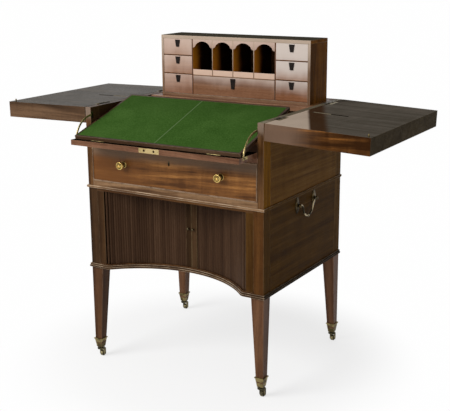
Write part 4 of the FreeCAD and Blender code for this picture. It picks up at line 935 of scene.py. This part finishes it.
# %% Turning
TURNED_ARRIS = math.radians(40)


def aimed(place, direction):
    turn = Vector((0, 0, 1)).rotation_difference(Vector(direction))
    return Matrix.Translation(place) @ turn.to_matrix().to_4x4()


def turned(profile, start, direction, steps, hollows=()):
    bm = blank()
    points = [bm.verts.new((radius, 0.0, height)) for height, radius in profile]
    edges = [bm.edges.new(pair) for pair in zip(points, points[1:])]
    bmesh.ops.spin(
        bm, geom=points + edges, cent=(0, 0, 0), axis=(0, 0, 1), dvec=(0, 0, 0), angle=math.tau,
        steps=steps, use_merge=True, use_duplicate=False,
    )
    bmesh.ops.remove_doubles(bm, verts=bm.verts, dist=1e-6)
    bmesh.ops.recalc_face_normals(bm, faces=bm.faces)
    bmesh.ops.transform(bm, matrix=aimed(start, direction), verts=bm.verts)
    grime = bm.faces.layers.float["grime"]
    for face in bm.faces:
        face.smooth = True
        height = (face.calc_center_median() - Vector(start)).dot(Vector(direction).normalized())
        face[grime] = float(any(low < height < high for low, high in hollows))
    for e in bm.edges:
        e.smooth = e.calc_face_angle(0.0) < TURNED_ARRIS
    return bm


# %% Drawer knobs
RING_DEPTHS = (0.0218, 0.0236)
KNOB_RINGS = ((0.0074, 0.0096), (0.0036, 0.0056))

low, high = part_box("main_drawer_knobs")
knob_radius = (high.z - low.z) / 2
knob_height = (high.z + low.z) / 2
reach = DRAWER_FACE - low.y
knob_profile = [
    (-0.004, 0.0), (-0.004, 0.0050), (0.0, 0.0050), (0.0, 0.0100), (0.0006, 0.0105), (0.0013, 0.0105),
    (0.0019, 0.0098), (0.0024, 0.0088), (0.0036, 0.0066), (0.0056, 0.0054), (0.0090, 0.0050),
    (0.0115, 0.0056), (0.0135, 0.0078), (0.0150, 0.0104), (0.0162, 0.0118), (0.0172, 0.0122),
    (0.0176, 0.0120), (0.0180, 0.0124), (0.0194, 0.0128), (0.0212, 0.0128), (0.0228, 0.0123),
    (0.0238, 0.0112), (0.0240, 0.0100), (0.0238, 0.0094), (0.0224, 0.0090), (0.0222, 0.0078),
    (0.0236, 0.0072), (0.0244, 0.0064), (0.0242, 0.0054), (0.0232, 0.0048), (0.0234, 0.0038),
    (0.0248, 0.0030), (0.0256, 0.0016), (reach, 0.0),
]
knobs = blank()
for x in (low.x + knob_radius, high.x - knob_radius):
    # The knob's neck, from 2 to 14 mm off the drawer, is darkened as grime in a hollow and as painted shade
    # under the head.
    knob = turned(knob_profile, (x, DRAWER_FACE, knob_height), (0, -1, 0), 40, [(0.0020, 0.0140)])
    grime = knob.faces.layers.float["grime"]
    for face in knob.faces:
        middle = face.calc_center_median()
        spread = math.hypot(middle.x - x, middle.z - knob_height)
        ringed = any(inner < spread < outer for inner, outer in KNOB_RINGS)
        if ringed and RING_DEPTHS[0] < DRAWER_FACE - middle.y < RING_DEPTHS[1]:
            face[grime] = 1.0
    add_to(knobs, knob)
knob_piece = finish_piece("drawer_knobs", knobs, "main_drawer", [POLISHED_BRASS])
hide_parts("main_drawer_knobs")
print("knobs reach", round(reach * 1000, 1), "mm")

# %% [markdown]
# ## Tambours
#
# Each side of the cupboard is closed by a curtain of narrow slats glued to canvas, which slides in a
# curved groove behind a lead stile with a small knob. The curtain bends as it runs, so its mesh is
# one piece that follows the carcass at its hidden end and the stile at the other. The slats' rounded
# fronts are pressed to half their depth and the slats widened a little, which softens the ribs. The
# canvas is the last solid of each curtain's node and becomes a sheet of its own, blended like it.

canvas = Finish("tambour_canvas")
weave = canvas.noise(canvas.place(), 900.0, 2.0)
stain = canvas.noise(canvas.place(), 11.0, 3.0)
browns = [(0.35, (0.085, 0.060, 0.035)), (0.65, (0.150, 0.110, 0.068))]
canvas_colour = canvas.ramp(weave * 0.5 + stain * 0.5, browns)
CANVAS = canvas.surface(canvas_colour, 0.92 - weave * 0.05, weave, 0.0002, Specular_IOR_Level=0.02)

# %% Press the slats
ARC_CENTRE_Y = -0.4520162
ARC_RADII = (0.34, 0.36)
SLAT_LIMIT = 0.02
CROWN_DEPTH = 0.003
CROWN_PRESS = 0.5
SLAT_GROWTH = 0.03


def press_slat(board, index):
    middle = sum((v.co for v in board.verts), Vector()) / len(board.verts)
    span = max(v.co.x for v in board.verts) - min(v.co.x for v in board.verts)
    out = Vector((middle.x, middle.y - ARC_CENTRE_Y, 0.0))
    if span > SLAT_LIMIT or not ARC_RADII[0] < out.length < ARC_RADII[1]:
        return
    out.normalize()
    side = Vector((-out.y, out.x, 0.0))
    near = min((v.co - middle).dot(out) for v in board.verts)
    for vertex in board.verts:
        depth = (vertex.co - middle).dot(out) - near
        if depth < CROWN_DEPTH:
            vertex.co -= out * depth * CROWN_PRESS
        vertex.co += side * (vertex.co - middle).dot(side) * SLAT_GROWTH


# %% Lead stiles, slats and canvas
SLATS = slice(None, -1)
BACKING = slice(-1, None)


def on_knob(face, index):
    return index > 0


for hand, slat_wood in TAMBOUR_WOODS.items():
    dress("tambour_stile_" + hand, [LEAD_WOOD, DARK_BRASS], "dark_mahogany", 0.0009, "z", choose=on_knob)
    node = "tambour_curtain_" + hand
    curtain = dress(node, slat_wood, "dark_mahogany", 0, "z", shape=press_slat, ride=False, share=SLATS)
    sheet_name = "tambour_canvas_" + hand
    backing = dress(node, CANVAS, "dark_mahogany", 0, "z", ride=False, share=BACKING, name=sheet_name)
    low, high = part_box(node)
    near = high.x if hand == "left" else low.x
    far = low.x if hand == "left" else high.x
    middle_y = (low.y + high.y) / 2
    height = (low.z + high.z) / 2
    for soft in (curtain, backing):
        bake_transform(soft, "carcass", "tambour_" + hand, (far, middle_y, height), (near, middle_y, height))

# %% [markdown]
# ## Lids, drop front and writing slope
#
# The two thick lids fold out sideways, the front drops forward and the slope rises from it. What is
# now the top of a lid lay inside while the desk was shut: the left one is dark, and the right one has
# a painted sheen, pale towards its hinges. The desk's old top faces down. Each lid has a slot for its
# brass stay, painted dark inside as shade but for the half by the hinge, which has a painted highlight,
# so the lid's faces are cut across the middle of the slot. The arris by the hinge has painted shade too.

# %% Lids
SLOT_MIDDLE = 0.404
SLOT_SPAN = (0.335, 0.475)
SLOT_DEPTHS = (0.012, 0.060)
FEWEST_CORNERS_OF_TOP = 9


def cut_lid(board, index):
    for x in (-SLOT_MIDDLE, SLOT_MIDDLE):
        geometry = board.verts[:] + board.edges[:] + board.faces[:]
        bmesh.ops.bisect_plane(board, geom=geometry, plane_co=(x, 0, 0), plane_no=(1, 0, 0), dist=1e-6)


def in_slot(face):
    middle = face.calc_center_median()
    across = SLOT_SPAN[0] < abs(middle.x) < SLOT_SPAN[1]
    along = SLOT_DEPTHS[0] < middle.y < SLOT_DEPTHS[1]
    return across and along and len(face.verts) < FEWEST_CORNERS_OF_TOP


# Slot faces away from the hinge and the arris by the hinge take painted shade, and slot faces by the hinge a
# painted highlight.
def lid_finish(face, index):
    middle = face.calc_center_median()
    if in_slot(face):
        return "bright" if abs(middle.x) < SLOT_MIDDLE else "dark"
    if face.normal.z < -FACING:
        return "outside"
    if face.normal.x * middle.x < -0.25 * abs(middle.x) and face.normal.z > 0.2:
        return "dark"
    if face.normal.z > FACING:
        return "inside"
    return "end" if face.normal.x > FACING else "edge"


for hand, inside, edge in (
    ("left", LEFT_LID_WOOD, LEFT_EDGE_WOOD),
    ("right", RIGHT_LID_WOOD, RIGHT_EDGE_WOOD),
):
    woods = {"inside": inside, "edge": edge, "end": END_WOOD}
    woods.update({"dark": SHADE_WOOD, "bright": RIM_WOOD, "outside": TOP_WOOD})
    dress("lid_" + hand, woods, "dark_mahogany", 0.0020, "x", 3, lid_finish, cut_lid)
    dress("lid_fittings_" + hand, OLD_BRASS, "brass", 0.0003)
dress("lid_hinges", DARK_BRASS, "brass", 0.0003)

# %% Drop front and slope
def faces_up(face, index):
    return face.normal.z > 0.9


def faces_sitter(face, index):
    return face.normal.y < -0.5


# The drop front's upward faces take painted shade, the shadow of the gap under the slope's front edge.
dress("fall_front", [FALL_WOOD, SHADE_WOOD], "mahogany", 0.0015, "x", 3, faces_up)
# The slope's faces towards the sitter take a paler timber, a painted highlight along its front edge.
dress("slope_board", [SLOPE_WOOD, SLOPE_EDGE_WOOD], "dark_mahogany", 0.0012, "x", choose=faces_sitter)
dress("slope_prop", INNER_WOOD, "oak", 0.0008, "x")
dress("fall_lock", LOCK_BRASS, "brass", 0.0004)
dress("fall_stays", STAY_BRASS, "brass", 0.0004)
dress("slope_hinges", OLD_BRASS, "brass", 0.0004)
dress("fall_brackets", DARK_BRASS, "brass", 0.0002)

# %% Baize
cloth = dress("slope_baize", BAIZE, "baize", 0.0003)
low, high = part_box("slope_baize")

# %% [markdown]
# ## The nest
#
# The nest of drawers and pigeonholes rises behind the slope. Its drawer fronts and front edges are
# paler towards the top, which is painted sheen. Dividers and arches are thin boards of a warmer colour,
# with painted light at their front that turns dark deeper in, which a bloom along the depth gives.

# %% Nest case
NEST_RIGHT_END = 0.27
NEST_TOP = 1.0


def on_front(face, index):
    return face.normal.y < -FACING and face.calc_center_median().y < NEST_FACE + 0.002


def case_finish(face, index):
    if on_front(face, index):
        return "edge"
    if face.normal.x > FACING and face.calc_center_median().x > NEST_RIGHT_END:
        return "side"
    if face.normal.z > FACING and face.calc_center_median().z > NEST_TOP:
        return "top"
    return "back" if face.normal.y < -FACING else "inside"


woods = {"inside": CASE_WOOD, "edge": NEST_EDGE_WOOD, "side": NEST_SIDE_WOOD}
woods.update({"top": NEST_TOP_WOOD, "back": NEST_BACK_WOOD})
dress("nest_case", woods, "mahogany", 0.0008, choose=case_finish)

# %% Dividers, arches and lips
UPRIGHT_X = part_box("nest_drawer_centre")[1].x


def divider_finish(face, index):
    if not on_front(face, index):
        return "shaded" if face.normal.x < -FACING else "board"
    return "edge" if abs(face.calc_center_median().x) < UPRIGHT_X - 0.004 else "blade"


woods = {"board": PARTITION_WOOD, "edge": NEST_EDGE_WOOD, "blade": BLADE_WOOD, "shaded": CASE_WOOD}
dress("nest_partitions", woods, "mahogany", 0.0004, choose=divider_finish)
woods = [PARTITION_WOOD, NEST_FRONT_WOODS["left"]]
dress("nest_arches", woods, "mahogany", 0.0004, "x", choose=on_front)
dress("nest_lips", NEST_FRONT_WOODS["lip"], "drawer_wood", 0.0006, "x")

# %% Nest drawers
FRONT_THICKNESS = 0.0085


def drawer_finish(face, index):
    if index == 1:
        return "tab"
    return "front" if face.calc_center_median().y < NEST_FACE + FRONT_THICKNESS else "box"


heights = ("lower", "middle", "upper")
nest_drawers = [f"{hand}_{height}" for hand in ("left", "right") for height in heights]
for place in nest_drawers + ["centre"]:
    woods = {"front": NEST_FRONT_WOODS[place.split("_")[0]], "box": INNER_WOOD, "tab": HORN}
    dress("nest_drawer_" + place, woods, "drawer_wood", 0.0006, "xz", choose=drawer_finish)

# %% [markdown]
# ## Side handles and casters
#
# Brass bail handles hang from oval plates on the lower sides, and each leg ends in a square brass
# cap with a small caster that trails behind its swivel. Cast and turned brass has soft steps and
# rings, so plates, balls, collars and wheels are spun from profiles; an oval plate is a round one
# stretched.

# %% A slotted screw
def screw(bm, place, direction, radius):
    head = [(-0.001, 0.0), (-0.001, radius), (-0.0001, radius), (0.00005, radius * 0.8), (0.0001, 0.0)]
    add_to(bm, turned(head, place, direction, 12))
    slot = blank()
    bmesh.ops.create_cube(slot, size=1.0)
    layer = slot.faces.layers.float["grime"]
    for face in slot.faces:
        face[layer] = 1.0
    turn = Matrix.Rotation(chance.uniform(0.0, math.pi), 4, "Z")
    size = Matrix.Diagonal((radius * 1.7, radius * 0.3, 0.0003, 1.0))
    bmesh.ops.transform(slot, matrix=aimed(place, direction) @ turn @ size, verts=slot.verts)
    add_to(bm, slot)


# %% Handle plates
PLATE_RADIUS = 0.0140
PLATE_SCREW_OUT = 0.0024
PLATE_SCREW_SHARE = 0.66
SCREW_RADIUS = 0.0022

low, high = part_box("handle_backplates")
side_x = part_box("side_right")[1].x
plate_z = (low.z + high.z) / 2
plate_tall = (high.z - low.z) / 2
plate_profile = [
    (0.0, 0.0), (0.0, PLATE_RADIUS), (0.0008, PLATE_RADIUS), (0.0013, 0.0133), (0.0013, 0.0126),
    (0.0010, 0.0121), (0.0017, 0.0113), (0.0024, 0.0098), (0.0027, 0.0080), (0.0027, 0.0),
]
post_profile = [
    (0.0020, 0.0), (0.0020, 0.0070), (0.0032, 0.0070), (0.0038, 0.0062), (0.0042, 0.0046),
    (0.0048, 0.0042), (0.0056, 0.0042), (0.0060, 0.0046), (0.0072, 0.0056), (0.0095, 0.0060),
    (0.0118, 0.0056), (0.0136, 0.0044), (0.0146, 0.0030), (0.0150, 0.0024), (0.0153, 0.0012), (0.0155, 0.0),
]
plates = blank()
for side in (-1, 1):
    for y in (low.y + PLATE_RADIUS, high.y - PLATE_RADIUS):
        foot = (side * side_x, y, plate_z)
        oval = turned(plate_profile, foot, (side, 0, 0), 40, [(0.0009, 0.0012)])
        taller = Matrix.Diagonal((1, 1, plate_tall / PLATE_RADIUS, 1))
        stretch = Matrix.Translation((0, 0, plate_z)) @ taller @ Matrix.Translation((0, 0, -plate_z))
        bmesh.ops.transform(oval, matrix=stretch, verts=oval.verts)
        add_to(plates, oval)
        add_to(plates, turned(post_profile, foot, (side, 0, 0), 24, [(0.0040, 0.0060)]))
        for up in (-1, 1):
            screw_z = plate_z + up * plate_tall * PLATE_SCREW_SHARE
            screw(plates, (side * (side_x + PLATE_SCREW_OUT), y, screw_z), (side, 0, 0), SCREW_RADIUS)
plate_piece = finish_piece("handle_plates", plates, "carcass", [BLACK_BRASS])
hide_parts("handle_backplates")
print("handle plates", len(plate_piece.data.polygons), "faces")

# %% Bails
BAIL_RADIUS = 0.0028

half_collar = [(0.0040, 0.0040), (0.0058, 0.0030), (0.0066, 0.0036), (0.0076, 0.0034), (0.0080, 0.0027)]
collar = [(-along, radius) for along, radius in half_collar[::-1]] + [(0.0, 0.0046)] + half_collar
for hand, side in (("left", -1), ("right", 1)):
    node = "side_handle_" + hand
    dress(node, BAIL_BRASS, "brass", 0)
    low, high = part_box(node)
    middle = ((low.x + high.x) / 2, (low.y + high.y) / 2, low.z + BAIL_RADIUS)
    grip = turned(collar, middle, (0, 1, 0), 20, [(-0.0062, -0.0052), (0.0052, 0.0062)])
    finish_piece("bail_grip_" + hand, grip, body_of(node), [BAIL_BRASS])

# %% Caps and casters
dress("leg_caps", OLD_BRASS, "brass", 0.0005)
wheel_profile = [
    (-0.0060, 0.00185), (-0.0060, 0.0034), (-0.0055, 0.0040), (-0.0048, 0.0043), (-0.0046, 0.0070),
    (-0.0053, 0.0078), (-0.0050, 0.0088), (-0.0038, 0.0095), (0.0038, 0.0095), (0.0050, 0.0088),
    (0.0053, 0.0078), (0.0046, 0.0070), (0.0048, 0.0043), (0.0055, 0.0040), (0.0060, 0.0034),
    (0.0060, 0.00185), (-0.0060, 0.00185),
]
AXLE_HEAD_OUT = 0.0088
axle_profile = [(-0.0005, 0.0), (-0.0005, 0.0030), (0.0004, 0.0030), (0.0010, 0.0022), (0.0012, 0.0)]
for end in ("front", "back"):
    for hand in ("left", "right"):
        fork = f"caster_fork_{end}_{hand}"
        node = f"caster_wheel_{end}_{hand}"
        dress(fork, CASTER_BRASS, "brass", 0.0003)
        low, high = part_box(node)
        middle = (low + high) / 2
        wheel = turned(wheel_profile, middle, (1, 0, 0), 36, [(-0.0054, -0.0045), (0.0045, 0.0054)])
        piece = finish_piece(f"wheel_{end}_{hand}", wheel, body_of(node), [CASTER_BRASS])
        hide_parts(node)
        heads = blank()
        for side in (-1, 1):
            place = middle + Vector((side * AXLE_HEAD_OUT, 0, 0))
            add_to(heads, turned(axle_profile, place, (side, 0, 0), 16))
        finish_piece(f"axle_heads_{end}_{hand}", heads, body_of(fork), [CASTER_BRASS])

# %% [markdown]
# ## Screws and knuckles
#
# Hinges show their screws and the joints between their knuckles. The knuckle joints are thin dark
# rings round the pin, and the screws are slotted, each left at its own angle. A lid droops a little,
# so the screws in its leaf of the hinge are tilted with it and ride on the lid.

# %% Screws of hinges and lock
LEAF_Z = 0.839
PIN_Z = 0.8392
PIN_INSET = 0.0026
HALF_HINGE = 0.030
CASE_SCREW_INSET = 0.0112
LID_SCREW_AWAY = 0.0080
SCREW_STEPS = (-0.021, 0.0, 0.021)
KNUCKLE_STEPS = (-0.018, -0.006, 0.006, 0.018)
KNUCKLE_RING = [(-0.0003, 0.0024), (-0.0003, 0.00268), (0.0003, 0.00268), (0.0003, 0.0024)]
LID_DROOPS = (("left", -1, 0.9), ("right", 1, 2.3))

fixed = blank()
loose = {"left": blank(), "right": blank()}
low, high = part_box("lid_hinges")
pin_x = high.x - PIN_INSET
for hand, side, droop in LID_DROOPS:
    tilt = math.radians(droop)
    tilted_up = (side * math.sin(tilt), 0, math.cos(tilt))
    lid_screw_z = LEAF_Z - LID_SCREW_AWAY * math.tan(tilt)
    for middle_y in (low.y + HALF_HINGE, high.y - HALF_HINGE):
        for step in SCREW_STEPS:
            place = (side * (high.x - CASE_SCREW_INSET), middle_y + step, LEAF_Z)
            screw(fixed, place, (0, 0, 1), SCREW_RADIUS)
            place = (side * (pin_x + LID_SCREW_AWAY), middle_y + step, lid_screw_z)
            screw(loose[hand], place, tilted_up, SCREW_RADIUS)
        for step in KNUCKLE_STEPS:
            place = (side * pin_x, middle_y + step, PIN_Z)
            add_to(fixed, turned(KNUCKLE_RING, place, (0, 1, 0), 20, [(-0.001, 0.001)]))
finish_piece("hinge_screws", fixed, "carcass", [DARK_BRASS])
for hand, bm in loose.items():
    finish_piece("lid_screws_" + hand, bm, body_of("lid_" + hand), [DARK_BRASS])
print("hinge screws on", list(loose))

# %% Screws of the lock
LOCK_SCREW_INSET = 0.0045
LOCK_SCREW_RADIUS = 0.0024

lock_screws = blank()
low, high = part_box("fall_lock")
for x in (low.x + LOCK_SCREW_INSET, high.x - LOCK_SCREW_INSET):
    place = (x, low.y + 0.0001, (low.z + high.z) / 2)
    screw(lock_screws, place, (0, -1, 0), LOCK_SCREW_RADIUS)
finish_piece("lock_screws", lock_screws, body_of("fall_lock"), [DARK_BRASS])
print("lock plate", round((high.x - low.x) * 1000, 1), "mm wide")
